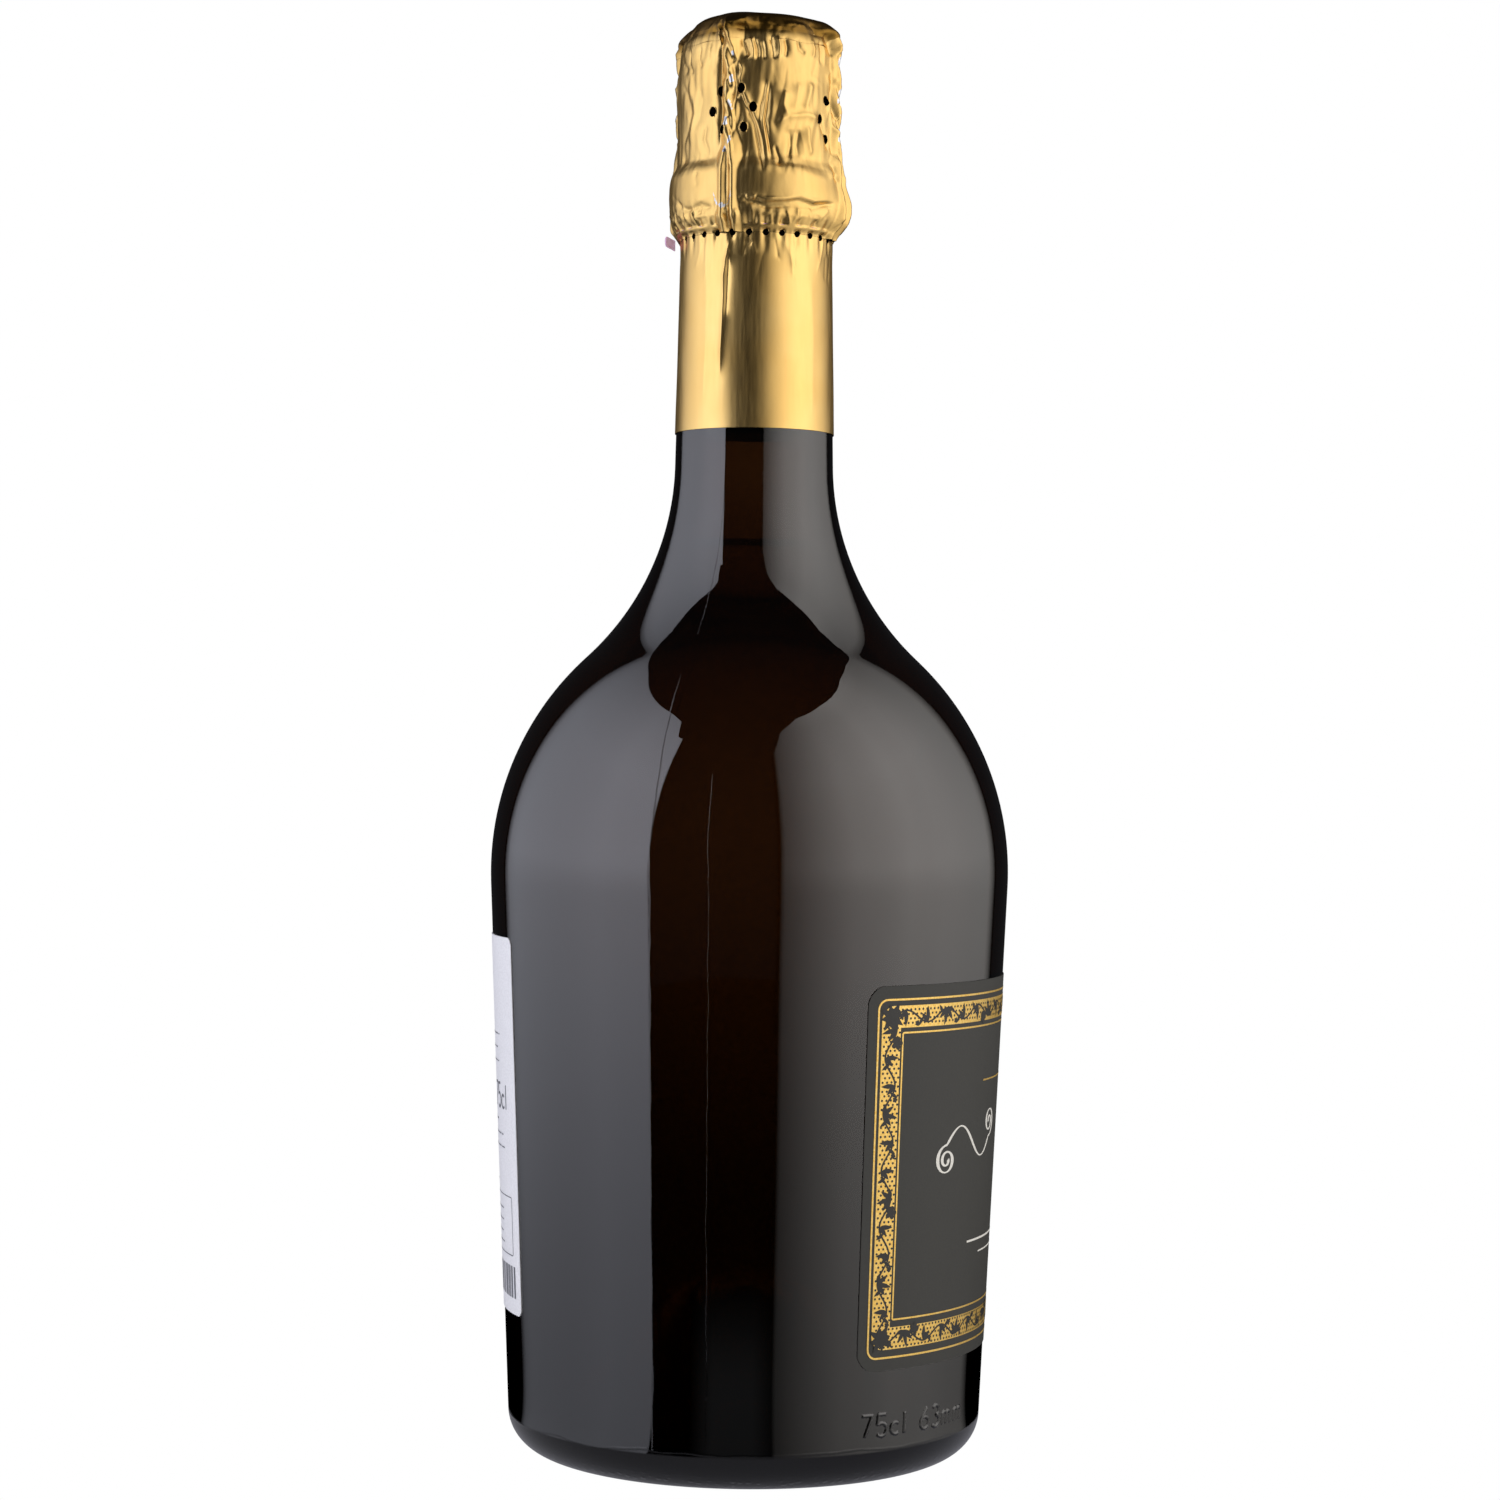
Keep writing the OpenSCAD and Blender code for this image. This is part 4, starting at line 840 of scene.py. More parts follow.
# Painted shade at the tear holes: a black band just off the glass, where no light falls between foil and
# glass
tearShadeZ = np.linspace(foil["tear"] - 1.0, foil["tear"] + 0.7, 4)
tearShadePoints = polar(wallRadius(tearShadeZ)[:, None] + 0.09, azimuths[::4][None, :], tearShadeZ[:, None])
meshObject("tearShade", tearShadePoints, gridFaces(4, len(azimuths[::4])), paintedShadeBlack, "glass")
print("hood made")

# Top disc: a foil cap. Its lap follows the hood's folds, and the folds fade over the bend
disc = {"lap": 269.3, "bend": 271.6, "columns": foil["columns"], "fold": 14.0}
lapZ = np.arange(disc["lap"], disc["bend"], 0.26)
lapR = np.array([[np.interp(z, heights, hoodR[:, j]) for j in range(disc["columns"])] for z in lapZ])
lapR = lapR + foil["thick"] + 0.07
bendZ = np.r_[np.arange(disc["bend"] + 0.25, 274.9, 0.25), 274.98]
solidDisc = coreRadius(["capsule_top_disc"], azimuths[::2], np.r_[lapZ, bendZ])
solidDisc = blurred(np.repeat(solidDisc, 2, 1), 2)
bendR = solidDisc[len(lapZ):] + 0.02
blend = np.exp(-(bendZ - disc["bend"]) / 0.5)[:, None]
bendR = bendR + (lapR[-1] - solidDisc[len(lapZ) - 1]) * blend
topShare = np.linspace(0.93, 0.1, 24)[:, None]
bendR = np.vstack([bendR, bendR[-1] * topShare])
bendZ = np.r_[bendZ, 275.1 - 0.12 * np.exp(-np.arange(24) / 1.5)]
discZ = np.r_[lapZ, bendZ][:, None] + np.zeros(disc["columns"])
discR = np.vstack([lapR, bendR])
discU = np.broadcast_to(azimuths, discR.shape)
pleats = np.zeros_like(discR)
rowKeys = np.r_[lapZ, disc["bend"] + 0.3 * np.arange(len(bendZ))]
for _ in range(34):
    path = wandering(draw.uniform(0, 360), draw.uniform(271.0, 274.6), draw.normal(0, 50),
                     draw.uniform(3, 8), 0.15)
    addFold(pleats, azimuths, rowKeys, path, draw.uniform(0.35, 0.8),
            draw.choice([-1, 1]) * draw.uniform(0.08, 0.24), disc["fold"])
for path, width, rise in (
        ([(150.5, 270.2), (152, 271.8), (151, 273.4)], 0.4, -0.35),
        ([(155.5, 270.4), (158, 272.0), (155.5, 274.2)], 0.4, 0.35),
        ([(160.5, 271.6), (167, 272.6), (173, 274.0)], 0.45, 0.35),
        ([(164, 271.2), (171, 272.0)], 0.4, -0.25),
        ([(200, 272.4), (211, 272.9), (222, 272.6)], 0.5, 0.3),
        ([(184, 273.4), (190, 271.4)], 0.4, 0.2),
        ([(226, 273.4), (231, 271.2)], 0.4, -0.3), ([(236, 273.0), (239, 270.8)], 0.4, 0.25)):
    addFold(pleats, azimuths, rowKeys, path, width, rise, disc["fold"])
flat = ease(discZ, 274.6, 275.08)
discR = discR + pleats * (1 - flat)
hemSwing = 0.12 * waves(azimuths, 0 * azimuths, 8, (4, 22), (30, 60))
discZ = discZ + np.where(np.arange(len(discZ))[:, None] == 0, hemSwing, 0)
discZ = discZ - 0.05 * flat + 0.04 * flat * waves(discU, discR * 2, 16, (1, 5), (6, 24))
discPoints = polar(discR, discU, np.minimum(discZ, 275.18)).reshape(-1, 3)
discFaces = gridFaces(len(discR), disc["columns"]).tolist()
last = (len(discR) - 1) * disc["columns"]
discPoints = np.vstack([discPoints, [[0, 0, 275.05]]])
discFaces += [[last + j, last + (j + 1) % disc["columns"], len(discPoints) - 1]
              for j in range(disc["columns"])]
discFoil = foilMaterial("top disc foil", 0.33, paintedShadeDim=0.8, paintedShadeCrown=(269.2, 271.6))
topDisc = meshObject("topDiscFoil", discPoints, discFaces, discFoil, "hood")
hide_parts("capsule_top_disc")

# Skirt: foil shrunk on the neck, nearly smooth, with pleats that run down from the tear holes
skirt = {"low": 195.6, "columns": 720, "rows": 110, "lift": 0.22}
skirtAzimuths = np.arange(skirt["columns"]) * 360 / skirt["columns"]
rowShare = (np.arange(skirt["rows"]) / (skirt["rows"] - 1)) ** 0.8
skirtU, skirtShare = np.meshgrid(skirtAzimuths, rowShare)
skirtTop = foil["tear"] - foil["gap"] / 2 - holeEdge(skirtU, 14.6)
skirtZ = skirt["low"] + (skirtTop - skirt["low"]) * skirtShare
skirtR = wallRadius(skirtZ) + skirt["lift"]
skirtRelief = 0.02 * waves(skirtU, skirtZ, 16, (2, 7), (30, 120)) \
    + 0.012 * waves(skirtU, skirtZ, 16, (6, 14), (10, 40))
skirtRelief -= hemPleats(skirtU, 2 * foil["tear"] - skirtZ, 232.9, 237.5, 0.1)
skirtFolds = np.zeros_like(skirtU)
skirtHeights = skirt["low"] + (foil["tear"] - skirt["low"]) * rowShare
for _ in range(34):
    path = wandering(draw.uniform(0, 360), draw.uniform(227, 231.5), draw.normal(0, 16),
                     draw.uniform(3, 10), 0.12)
    addFold(skirtFolds, skirtAzimuths, skirtHeights, path, draw.uniform(0.3, 0.7),
            draw.choice([-1, 1]) * draw.uniform(0.04, 0.11), 14.6)
# Folds placed as the photograph shows them
for path, width, rise in (
        ([(163.8, 233.2), (158.2, 229.5), (155.3, 224.4), (155.8, 220.6), (154.9, 214.5), (153.5, 205)],
         0.5, 0.36),
        ([(159.0, 228.3), (158.3, 222.5), (157.5, 216)], 0.4, -0.24),
        ([(140.0, 229), (141.0, 214.0), (139.5, 199)], 0.6, 0.08),
        ([(224.0, 227.5), (226.5, 214.0), (225.5, 197)], 0.9, 0.1),
        ([(172.5, 231.5), (170.0, 228.0)], 0.4, -0.12), ([(193.5, 232), (196.5, 227.5)], 0.4, -0.12),
        ([(176.5, 231), (180.0, 228.5)], 0.4, 0.1), ([(212.0, 231.5), (208.0, 226)], 0.5, 0.1)):
    addFold(skirtFolds, skirtAzimuths, skirtHeights, path, width, rise, 14.6)
skirtRelief += skirtFolds * ease(233.6 - skirtHeights, 0.9, 2.2)[:, None]
skirtFoil = foilMaterial("skirt foil", 0.32, dents=0.01, paintedShadeDim=0.92)
skirtPiece = meshObject("skirtFoil", polar(skirtR + skirtRelief, skirtU, skirtZ),
                        gridFaces(skirt["rows"], skirt["columns"]), skirtFoil, "glass")
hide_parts("capsule_skirt")
print("capsule made")


# Labels: printed sheets on the glass, drawn in millimetres from the label's middle
def labelPlace(node, turn):
    low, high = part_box(node)
    zLow, zHigh = low.z / mm, high.z / mm
    middle = wallRadius((zLow + zHigh) / 2)
    return {"turn": turn, "low": zLow, "high": zHigh, "middle": middle}


def onLabel(label, u, v, lift):
    r = wallRadius(v) + 0.19 + lift
    return polar(r, label["turn"] + np.degrees(u / label["middle"]), v)


# A flat band along a path of [u, v], a closed path joins round
def ribbon(path, width, closed=True):
    path = np.asarray(path, float)
    ahead = np.roll(path, -1, 0) if closed else np.vstack([path[1:], 2 * path[-1] - path[-2]])
    behind = np.roll(path, 1, 0) if closed else np.vstack([2 * path[0] - path[1], path[:-1]])
    way = ahead - behind
    way /= np.linalg.norm(way, axis=1)[:, None]
    side = np.stack([-way[:, 1], way[:, 0]], -1) * np.broadcast_to(width, len(path))[:, None] / 2
    points = np.vstack([path - side, path + side])
    n = len(path)
    j = np.arange(n if closed else n - 1)
    faces = np.stack([j, (j + 1) % n, n + (j + 1) % n, n + j], -1)
    return points, faces.tolist()


# A straight line of ink between two places at one height, or between two heights at one place
def rule(low, high, v, width):
    return ribbon(refined(np.array([(low, v), (high, v)], float), 1.0), width, closed=False)


def bar(low, high, u, width):
    return ribbon(refined(np.array([(u, low), (u, high)], float), 1.0), width, closed=False)


# A closed outline filled as one face
def patch(points):
    points = np.asarray(points, float)
    area = np.sum(points[:, 0] * np.roll(points[:, 1], -1) - points[:, 1] * np.roll(points[:, 0], -1))
    return (points if area > 0 else points[::-1]), [list(range(len(points)))]


# A rectangle with rounded corners, as a path with points at most a step apart
def roundedBox(halfW, low, high, corner, step=0.8):
    path = []
    for cx, cy, start in ((halfW - corner, low + corner, -90), (halfW - corner, high - corner, 0),
                          (-halfW + corner, high - corner, 90), (-halfW + corner, low + corner, 180)):
        for k in range(7):
            a = math.radians(start + 90 * k / 6)
            path.append((cx + corner * math.cos(a), cy + corner * math.sin(a)))
    path = np.array(path + path[:1])
    return refined(path, step)[:-1]


def printed(name, label, shapes, lift, material):
    points, faces, base = [], [], 0
    for shapePoints, shapeFaces in shapes:
        points.append(shapePoints)
        faces += [[base + k for k in f] for f in shapeFaces]
        base += len(shapePoints)
    flat = np.vstack(points)
    return meshObject(name, onLabel(label, flat[:, 0], flat[:, 1], lift), faces, material, "glass")


# Uncoated label paper: matt, with a faint tooth that keeps the tone from looking flat
def paperMaterial(name, colour, tooth=0.012, rough=0.62):
    material, tree, main = shader(name, Roughness=rough)
    where = place(tree)
    fibre = grain(tree, where, 0.35, 4.0, 0.6)
    deeper = [c * 0.86 for c in linear(colour)[:3]] + [1.0]
    tone = mixed(tree, ramp(tree, fibre, 0.35, 0.65, 0.0, 1.0), deeper, linear(colour))
    tree.links.new(tone, main.inputs["Base Color"])
    bumped(tree, main, fibre, tooth)
    return material


# Printed gold: metal leaf pressed into the paper, bright but broken by the paper's tooth
def leafMaterial():
    material, tree, main = shader("gold leaf print", Metallic=0.6, Roughness=0.34)
    where = place(tree)
    fibre = grain(tree, where, 0.4, 3.0)
    tree.links.new(mixed(tree, ramp(tree, fibre, 0.35, 0.65, 0, 1), linear("#f0c058"), linear("#ffda82")),
                   main.inputs["Base Color"])
    bumped(tree, main, fibre, 0.01)
    return material


charcoal = paperMaterial("charcoal label paper", "#363633")
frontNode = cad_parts["front_label"]
frontNode.data.materials[0] = charcoal
front = labelPlace("front_label", 270.0)
leaf = leafMaterial()
ink = paperMaterial("label ink", "#2b2a28", 0.004, 0.5)
whiteInk = paperMaterial("white ink", "#e9e7e0", 0.004, 0.5)

# Frame of the front label: two gold lines with a gold net between them
band = {"halfOut": 50.9, "lowOut": 24.0, "highOut": 89.5, "corner": 1.8, "halfIn": 45.6,
        "lowIn": 30.9, "highIn": 83.4, "line": 0.36, "net": 4.0, "pitch": 0.95, "dot": 0.24}
lines = [ribbon(roundedBox(band["halfOut"], band["lowOut"], band["highOut"], band["corner"]),
                band["line"]),
         ribbon(roundedBox(band["halfIn"], band["lowIn"], band["highIn"], 0.3), band["line"] * 0.9)]
midOut = {"half": band["halfOut"] - 2.75, "low": band["lowOut"] + 3.5, "high": band["highOut"] - 3.15}
netPath = roundedBox(midOut["half"], midOut["low"], midOut["high"], 0.6, 0.7)
netLow, netHigh = midOut["low"], midOut["high"]


# A band of four strips, so that it follows the glass
def netBand():
    shapes = []
    for k in range(4):
        offset = band["net"] * ((k + 0.5) / 4 - 0.5)
        path = roundedBox(midOut["half"] + offset, netLow - offset, netHigh + offset,
                          0.6 + max(offset, 0), 0.7)
        shapes.append(ribbon(path, band["net"] / 4 * 1.04))
    return shapes


# Holes of the net: small dark dots in rows set half a pitch apart
def netDots():
    shapes = []
    rowStep = band["pitch"] * math.sqrt(3) / 2
    half = band["net"] / 2 - band["dot"] * 0.6
    rows = int((netHigh - netLow + band["net"]) / rowStep) + 1
    cols = int((2 * midOut["half"] + band["net"]) / band["pitch"]) + 2
    ring = np.radians(np.arange(6) * 60 + 30)
    circle = np.stack([np.cos(ring), np.sin(ring)], -1) * band["dot"]
    for i in range(rows):
        v = netLow - band["net"] / 2 + rowStep * (i + 0.5)
        for j in range(cols):
            u = -midOut["half"] - band["net"] / 2 + band["pitch"] * (j + 0.5 * (i % 2))
            inU = abs(abs(u) - midOut["half"]) < half and netLow - half < v < netHigh + half
            inV = min(abs(v - netLow), abs(v - netHigh)) < half and abs(u) < midOut["half"] + half
            if inU or inV:
                shapes.append(patch(circle + (u, v)))
    return shapes


# A leaf: two arcs that meet at both tips, half width = width * sin(pi * share ** 0.8)
def leafShape(root, direction, length, width):
    t = np.linspace(0, 1, 9)
    half = width * np.sin(np.pi * t ** 0.8)
    spine = np.stack([t * length, np.zeros_like(t)], -1)
    aside = np.stack([0 * t, half], -1)
    points = np.vstack([spine + aside, (spine - aside)[-2:0:-1]])
    c, s = math.cos(direction), math.sin(direction)
    return patch(points @ np.array([[c, s], [-s, c]]) + root)


# A rosette of five petals: radius = size * (0.62 + 0.38 * |cos(2.5 * angle)| to the power 0.7)
def rosette(middle, size):
    t = np.linspace(0, 2 * np.pi, 61)[:-1]
    r = size * (0.62 + 0.38 * np.abs(np.cos(2.5 * t)) ** 0.7)
    return patch(np.stack([r * np.cos(t), r * np.sin(t)], -1) + middle)


# Ornament of the band: a stem that swings from side to side with a leaf at each side of it,
# small rosettes in its bends and a spray at each corner
def vine():
    shapes = []
    length = np.r_[0, np.cumsum(np.hypot(*np.diff(np.vstack([netPath, netPath[:1]]), axis=0).T))]
    closed = np.vstack([netPath, netPath[:1]])
    wave = length[-1] / 30

    def at(s, off):
        s = s % length[-1]
        p = np.array([np.interp(s, length, closed[:, 0]), np.interp(s, length, closed[:, 1])])
        q = np.array([np.interp((s + 0.4) % length[-1], length, closed[:, 0]),
                      np.interp((s + 0.4) % length[-1], length, closed[:, 1])])
        way = (q - p) / max(np.linalg.norm(q - p), 1e-6)
        return p + off * np.array([-way[1], way[0]]), math.atan2(way[1], way[0])

    stem = [at(s, 1.15 * math.sin(2 * math.pi * s / wave))[0] for s in np.arange(0, length[-1], 0.35)]
    shapes.append(ribbon(stem, 0.34))
    for k in range(60):
        s = wave * (k / 2 + 0.25)
        side = 1 if k % 2 == 0 else -1
        p, way = at(s, side * 1.1)
        sizes = ((0.55, 2.9), (-0.7, 2.3)) if k % 3 else ((0.2, 3.2), (-0.9, 2.8), (1.6, 2.6), (2.9, 2.0))
        for turnBy, size in sizes:
            shapes.append(leafShape(p, way + side * -1 * (1.2 + turnBy * 0.6), size, 0.44))
        q, _ = at(s + wave * 0.25, side * 1.3)
        if k % 2 == 0:
            shapes.append(rosette(q, 0.55 if k % 6 else 1.25))
        p2, way2 = at(s + wave * 0.12, side * 0.2)
        shapes.append(leafShape(p2, way2 + side * 1.0, 1.9, 0.34))
    for u in (-1, 1):
        for v in (netLow, netHigh):
            corner = np.array([u * midOut["half"], v])
            shapes.append(rosette(corner, 1.6))
            for k in range(8):
                spray = math.radians(45 * k + 12)
                shapes.append(leafShape(corner, spray, 2.9 if k % 2 else 2.3, 0.55))
    return shapes


printed("labelGold", front, lines + netBand(), 0.03, leaf)
printed("labelDots", front, netDots(), 0.05, ink)
printed("labelVine", front, vine(), 0.07, ink)


# A scroll with no letters: one sine wave that curls in at both ends, where the curl's radius
# falls evenly with its angle
def scroll(middle, size):
    t = np.linspace(0, 1, 60)
    swing = np.stack([(t - 0.5) * 2 * size, 0.35 * size * np.sin(2 * np.pi * t)], -1)
    a = np.linspace(0, 3.6 * np.pi, 50)
    curl = size * 0.32 * (1 - a / (4.4 * np.pi))
    left = np.stack([-size + curl * -np.sin(a), curl * np.cos(a) - size * 0.32], -1)
    rightEnd = -left
    path = refined(np.vstack([left[::-1], swing[1:-1], rightEnd]), 0.4)
    # Pen strokes: width = 0.22 + 0.75 * (share of the stroke that runs up or down) squared, in mm
    way = np.gradient(path, axis=0)
    steep = np.abs(way[:, 1]) / np.maximum(np.hypot(*way.T), 1e-9)
    pressed = np.convolve(np.pad(steep ** 2, 3, "edge"), np.ones(7) / 7, "valid")
    return ribbon(path + middle, 0.22 + 0.75 * pressed, closed=False)


flourish = [scroll((-24.0, 62.0), 9.0), scroll((14.0, 62.0), 9.0),
            rule(-24.0, 24.0, 43.0, 0.4), rule(-18.0, 18.0, 40.5, 0.3)]
printed("labelScroll", front, flourish, 0.03, whiteInk)
goldRule = [rule(-20.0, 20.0, 73.0, 0.3), rosette((0, 77.0), 1.6)]
printed("labelRule", front, goldRule, 0.03, leaf)

# Back label: white paper with grey rules, a framed panel and plain bars
whitePaper = paperMaterial("white label paper", "#f7f6f9", 0.006, 0.5)
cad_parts["back_label"].data.materials[0] = whitePaper
back = labelPlace("back_label", 86.0)
greyInk = paperMaterial("grey ink", "#6e6f76", 0.003, 0.5)
backShapes = []


for v, width, ends in ((80.0, 0.25, 16), (77.4, 0.25, 14), (74.8, 0.25, 15), (63.6, 0.3, 12),
                       (61.0, 0.25, 17), (58.6, 0.25, 18), (51.8, 0.3, 9)):
    start = -ends
    while start < ends:
        stop = min(start + draw.uniform(2, 6), ends)
        backShapes.append(rule(start, stop, v, width))
        start = stop + 0.7
backShapes.append(ribbon(roundedBox(21.5, 38.5, 49.5, 0.4), 0.2))
for v in (46.8, 44.6, 42.4, 40.4):
    backShapes.append(rule(-19.5, 19.0 - draw.uniform(0, 6), v, 0.22))
u = 4.0
while u < 22:
    width = draw.choice([0.3, 0.3, 0.6, 0.9])
    backShapes.append(bar(30.5, 36.5, u + width / 2, width))
    u += width + draw.choice([0.35, 0.5, 0.8])
for stroke in strokesOf("75cl", 9.5, 66.0, 4.6):
    backShapes.append(ribbon(refined(stroke, 0.3), 0.5, closed=False))
printed("backPrint", back, backShapes, 0.03, greyInk)
print("labels made")

# Closure under the foil

# Wire: drawn zinc-coated steel, dull bright with fine lines along the draw
def wireMaterial():
    material, tree, main = shader("cage wire", Metallic=1.0, Roughness=0.32)
    where = place(tree)
    tree.links.new(mixed(tree, grain(tree, where, 1.5, 3.0), linear("#9a9ca0"), linear("#c9cbd0")),
                   main.inputs["Base Color"])
    bumped(tree, main, grain(tree, where, 0.2, 2.0), 0.003)
    return material


# Ground cork: crumbs of two tones set close, with darker specks of bark between them
def corkMaterial(name, crumb, light, dark):
    material, tree, main = shader(name, Roughness=0.75)
    where = place(tree)
    cells = addNode(tree, "ShaderNodeTexVoronoi", Vector=where, Scale=1 / (crumb * mm))
    tone = mixed(tree, cells.outputs["Color"], linear(dark), linear(light))
    speck = ramp(tree, grain(tree, where, 0.8, 3.0), 0.62, 0.68, 0.0, 1.0)
    tree.links.new(mixed(tree, speck, tone, linear("#6b4528")), main.inputs["Base Color"])
    bumped(tree, main, cells.outputs["Distance"], 0.06)
    return material


wire = wireMaterial()


# Smooth copies of the CAD wires: the same points joined up, so that round wire looks round
def smoothWire(name, node, body):
    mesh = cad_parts[node].data
    co = np.empty(len(mesh.vertices) * 3)
    mesh.vertices.foreach_get("co", co)
    keys, joined = np.unique(np.round(co.reshape(-1, 3), 7), axis=0, return_inverse=True)
    joined = np.ravel(joined)
    faces = [[int(joined[k]) for k in p.vertices] for p in mesh.polygons]
    piece = meshObject(name, keys / mm, faces, wire, body)
    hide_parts(node)


for name, node, body in (("cageWire", "cage_wire", "cage"), ("beltWire", "belt_wire", "cage"),
                         ("twistKey", "twist_key", "key")):
    smoothWire(name, node, body)
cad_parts["cork_body"].data.materials[0] = corkMaterial("ground cork", 1.6, "#c9a06a", "#a87c4c")
naturalCork = corkMaterial("natural cork", 0.6, "#d0a873", "#bd9160")
for node in ("cork_disc_upper", "cork_disc_lower"):
    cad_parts[node].data.materials[0] = naturalCork


# Cap: printed tinplate, a smooth satin lacquer over metal
def capMaterial():
    material, tree, main = shader("cap lacquer", Base_Color=linear("#b5924a"), Metallic=0.8,
                                  Roughness=0.3, Coat_Weight=0.5, Coat_Roughness=0.08)
    bumped(tree, main, grain(tree, place(tree), 0.6, 2.0), 0.002)
    return material


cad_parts["plaque"].data.materials[0] = capMaterial()


# Tape: pink polymer film, smooth and a little see-through in its tone
def filmMaterial():
    material, tree, main = shader("pink film", Roughness=0.3, Alpha=0.62)
    where = place(tree)
    tree.links.new(mixed(tree, grain(tree, where, 2, 2.0), linear("#f4aef6"), linear("#fccfff")),
                   main.inputs["Base Color"])
    return material


film = filmMaterial()
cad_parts["pull_tab"].data.materials[0] = film
tapeZ = np.linspace(foil["tear"] + 0.75, tapeHigh, 8)
tapeOut = np.interp(tapeZ, heights[tapeR > 0], tapeR[tapeR > 0])
tapeLoop = np.vstack([np.c_[tapeOut, tapeZ], np.c_[tapeOut - 0.1, tapeZ][::-1]])
tapePoints = polar(tapeLoop[:, 0, None], azimuths[::4][None, :], tapeLoop[:, 1, None])
tapeCols = len(azimuths[::4])
tapeLast = (len(tapeLoop) - 1) * tapeCols
tapeFaces = gridFaces(len(tapeLoop), tapeCols).tolist()
tapeFaces += [[tapeLast + j, tapeLast + (j + 1) % tapeCols, (j + 1) % tapeCols, j] for j in range(tapeCols)]
tape = meshObject("tapeFilm", tapePoints, tapeFaces, film, "hood")
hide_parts("tear_tape")
print("closure made")

# Floor and lights: white for the camera, and for light through the glass but for a painted shadow
# near the bottle. In reflections the room is dark but for a tall curved wall of light at each side,
# and the floor shows that light as painted light, with painted shade towards the bottle and a painted shadow
# close round it
lamps = {"radius": 500.0, "floor": 640.0, "paintedShadowReach": 57.0, "shift": 62.0, "columns": 60}
# Each lamp: its side, brightness and tint, its share of that brightness by azimuth from the
# camera's side, and its top edge as azimuths with heights
leftLamp = {"side": 1, "bright": 1.72, "tint": (0.955, 0.975, 1.1),
            "share": [(41.9, 0.0), (42.7, 1.0), (66.0, 1.0), (100.0, 0.66), (121.0, 0.42), (127.0, 0.3),
                      (132.5, 0.0)],
            "top": [(40, 700), (46, 700), (50, 840), (60, 880), (110, 880), (130.5, 800), (131.5, 420),
                    (134, 350)]}
rightLamp = {"side": -1, "bright": 1.8, "tint": (1.02, 0.985, 0.955),
             "share": [(12.5, 0.0), (14.5, 0.18), (45.0, 0.78), (72.0, 0.98), (92.0, 0.8), (112.0, 0.48),
                       (126.0, 0.3), (134.0, 0.0)],
             "top": [(10, 640), (14, 650), (20, 830), (35, 980), (60, 1040), (100, 1040), (118, 940),
                     (131, 800), (132, 420), (139, 350)]}
# Painted light: a dim patch of light on the floor on the camera's side, between the lamps, seen in
# reflections
paintedFloorGlow = {"side": 1, "bright": 0.16, "tint": (0.98, 1.0, 1.04),
            "share": [(-16.0, 0.0), (-4.0, 1.0), (14.0, 1.0), (24.0, 0.0)]}


# Light by direction: a chain of straight ramps along the azimuth from the camera's side
def lampShare(tree, lamp, x, y, reach=None):
    sideY = maths(tree, "MULTIPLY", y, float(lamp["side"]))
    turned = maths(tree, "ARCTAN2", sideY, maths(tree, "MULTIPLY", x, -1.0))
    away = maths(tree, "MULTIPLY", turned, 180 / math.pi)
    # The light mirrored by the bottle's wall at a small reach lies at a smaller azimuth than the
    # far light does: the difference is shift * sin(azimuth / 2) * (1 / reach - 1 / radius)
    if reach:
        half = maths(tree, "SINE", maths(tree, "MULTIPLY", away, math.pi / 360))
        nearer = maths(tree, "SUBTRACT", maths(tree, "DIVIDE", 1.0, reach), 1 / (lamps["radius"] * mm))
        shift = maths(tree, "MULTIPLY", maths(tree, "MULTIPLY", half, nearer),
                      lamps["shift"] * mm * 180 / math.pi)
        away = maths(tree, "ADD", away, shift)
    total = 0.0
    for (a, low), (b, high) in zip(lamp["share"][:-1], lamp["share"][1:]):
        total = maths(tree, "ADD", ramp(tree, away, a, b, 0.0, high - low), total)
    return total


def stageObject(name, points, faces, material):
    mesh = bpy.data.meshes.new(name)
    mesh.from_pydata((np.asarray(points) * mm).tolist(), [], [list(f) for f in faces])
    mesh.materials.append(material)
    piece = bpy.data.objects.new(name, mesh)
    bpy.context.scene.collection.objects.link(piece)
    return piece


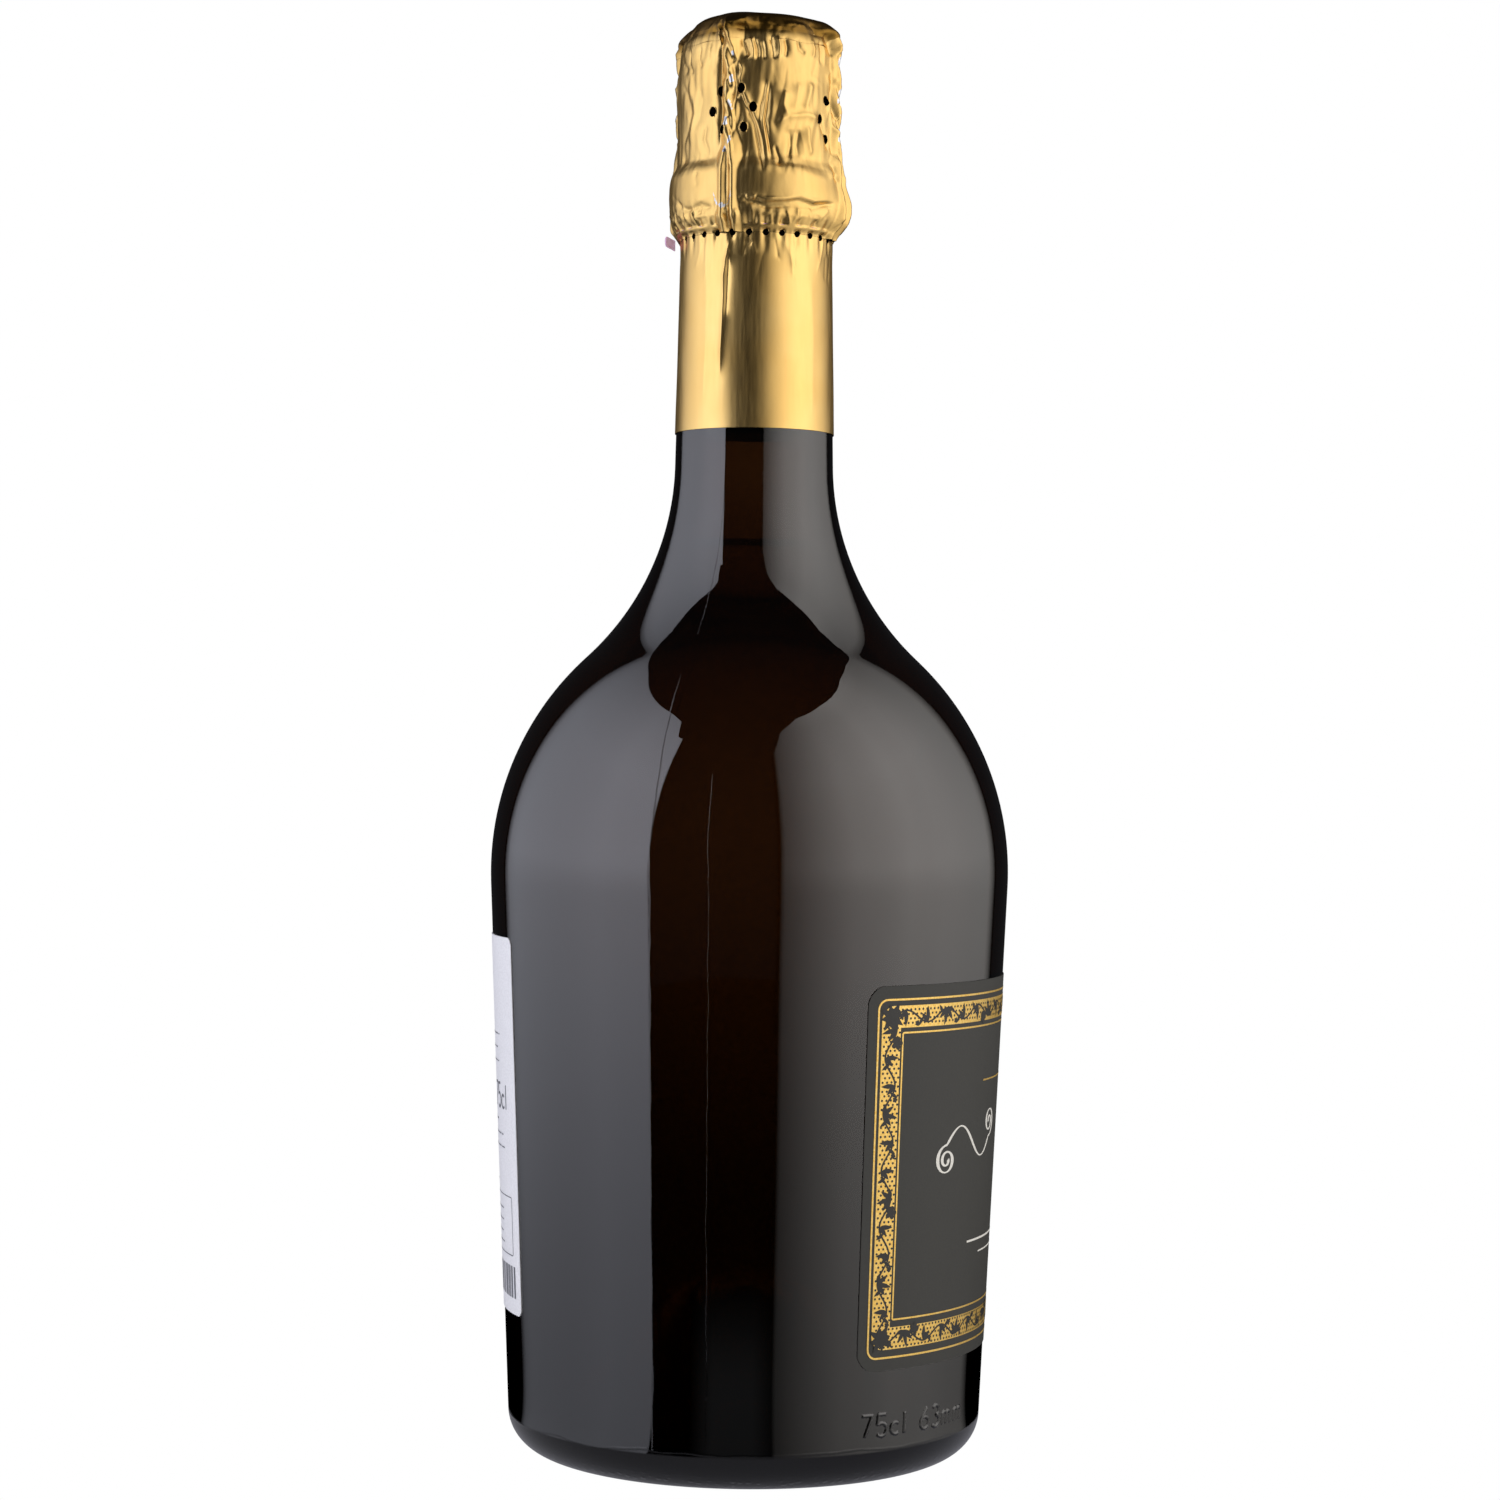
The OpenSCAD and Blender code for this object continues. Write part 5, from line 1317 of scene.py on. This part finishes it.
def floorMaterial():
    material, tree, main = shader("white floor", Base_Color=(0.8, 0.8, 0.8, 1), Roughness=0.9)
    x, y, _ = ownXyz(tree)
    squares = maths(tree, "ADD", maths(tree, "MULTIPLY", x, x), maths(tree, "MULTIPLY", y, y))
    reach = maths(tree, "SQRT", squares)
    # Painted light: in reflections the floor glows with the lamps' pattern
    paintedLight = (0, 0, 0, 1)
    for lamp in (leftLamp, rightLamp, paintedFloorGlow):
        share = maths(tree, "MULTIPLY", lampShare(tree, lamp, x, y, reach), lamp["bright"])
        if lamp is paintedFloorGlow:
            share = maths(tree, "MULTIPLY", share, ramp(tree, reach, 0.1, 0.21, 1.0, 0.0, True))
        node = addNode(tree, "ShaderNodeVectorMath", {"operation": "SCALE"}, i0=lamp["tint"])
        tree.links.new(share, node.inputs["Scale"])
        paintedLight = addNode(tree, "ShaderNodeVectorMath", {"operation": "ADD"}, i0=node.outputs[0],
                        i1=paintedLight[:3] if isinstance(paintedLight, tuple) else paintedLight).outputs[0]
    # Painted shade: that glow dims towards the bottle
    dimmed = addNode(tree, "ShaderNodeVectorMath", {"operation": "SCALE"}, i0=paintedLight)
    tree.links.new(ramp(tree, reach, 0.06, lamps["radius"] * mm, 0.36, 0.62), dimmed.inputs["Scale"])
    # Painted shadow: a dark ring of floor close round the bottle, seen in reflections
    beside = ramp(tree, reach, lamps["paintedShadowReach"] * mm, (lamps["paintedShadowReach"] + 5) * mm, 1.0, 0.0, True)
    mirrored = mixed(tree, beside, dimmed.outputs[0], (0.17, 0.17, 0.19, 1))
    # Painted shadow: seen through the glass, the floor darkens towards the bottle
    through = ramp(tree, reach, 0.08, 0.3, 0.25, 1.0)
    path = addNode(tree, "ShaderNodeLightPath")
    colour = mixed(tree, path.outputs["Is Glossy Ray"], (1, 1, 1, 1), mirrored)
    colour = mixed(tree, path.outputs["Is Transmission Ray"], colour, through)
    seen = maths(tree, "MAXIMUM", path.outputs["Is Camera Ray"], path.outputs["Is Transmission Ray"])
    seen = maths(tree, "MAXIMUM", seen, path.outputs["Is Glossy Ray"])
    glow = addNode(tree, "ShaderNodeEmission", Color=colour, Strength=1.0)
    mix = addNode(tree, "ShaderNodeMixShader", i0=seen, i1=main.outputs[0], i2=glow.outputs[0])
    # From below the floor is clear, so that the bottle's base can be looked at
    below = addNode(tree, "ShaderNodeNewGeometry").outputs["Backfacing"]
    clear = addNode(tree, "ShaderNodeBsdfTransparent").outputs[0]
    mix = addNode(tree, "ShaderNodeMixShader", i0=below, i1=mix.outputs[0], i2=clear)
    tree.links.new(mix.outputs[0], tree.nodes["Material Output"].inputs["Surface"])
    material.cycles.emission_sampling = "NONE"
    return material


turnsRound = np.radians(np.arange(96) * 360 / 96)
stageObject("floor", np.stack([np.cos(turnsRound), np.sin(turnsRound), 0 * turnsRound], -1) * lamps["floor"],
            [list(range(96))], floorMaterial())


# A curved wall of light round the bottle, dimmer towards the floor
def lampMaterial(name, lamp):
    material = bpy.data.materials.new(name)
    material.use_nodes = True
    tree = material.node_tree
    tree.nodes.remove(tree.nodes["Principled BSDF"])
    x, y, z = ownXyz(tree)
    share = lampShare(tree, lamp, x, y)
    tall = maths(tree, "MULTIPLY", ramp(tree, z, 0.0, 0.134, 0.62, 1.0), ramp(tree, z, 0.45, 0.84, 1.0, 0.72))
    face = addNode(tree, "ShaderNodeNewGeometry").outputs["Backfacing"]
    total = maths(tree, "MULTIPLY", maths(tree, "MULTIPLY", share, tall),
                  maths(tree, "SUBTRACT", lamp["bright"], maths(tree, "MULTIPLY", face, lamp["bright"])))
    glow = addNode(tree, "ShaderNodeEmission", Color=(*lamp["tint"], 1), Strength=total)
    tree.links.new(glow.outputs[0], tree.nodes["Material Output"].inputs["Surface"])
    return material


# The camera doesn't see the lamps themselves, so that they hide no side of the bottle
for name, lamp in (("leftLight", leftLamp), ("rightLight", rightLamp)):
    turns = np.linspace(lamp["share"][0][0] - 1, lamp["share"][-1][0] + 1, lamps["columns"])
    angles = np.radians(180 - lamp["side"] * turns)
    ring = np.stack([np.cos(angles), np.sin(angles)], -1) * lamps["radius"]
    tops = np.interp(turns, *np.array(lamp["top"]).T)
    points = np.vstack([np.c_[ring, np.ones(lamps["columns"])], np.c_[ring, tops]])
    j = np.arange(lamps["columns"] - 1)
    quads = np.stack([j, j + 1, j + 1 + lamps["columns"], j + lamps["columns"]], -1)
    quads = quads if lamp["side"] > 0 else quads[:, ::-1]
    stageObject(name, points, quads.tolist(), lampMaterial(name, lamp)).visible_camera = False

world = bpy.data.worlds.new("room")
bpy.context.scene.world = world
world.use_nodes = True
roomTree = world.node_tree
background = roomTree.nodes["Background"]
path = addNode(roomTree, "ShaderNodeLightPath")
seen = maths(roomTree, "MAXIMUM", path.outputs["Is Camera Ray"], path.outputs["Is Transmission Ray"])
dark = mixed(roomTree, path.outputs["Is Glossy Ray"], (0.72, 0.72, 0.72, 1), (0.01, 0.01, 0.011, 1))
roomTree.links.new(mixed(roomTree, seen, dark, (1, 1, 1, 1)), background.inputs["Color"])
background.inputs["Strength"].default_value = 1.0
bpy.context.scene.view_settings.view_transform = "Standard"
print("stage made")
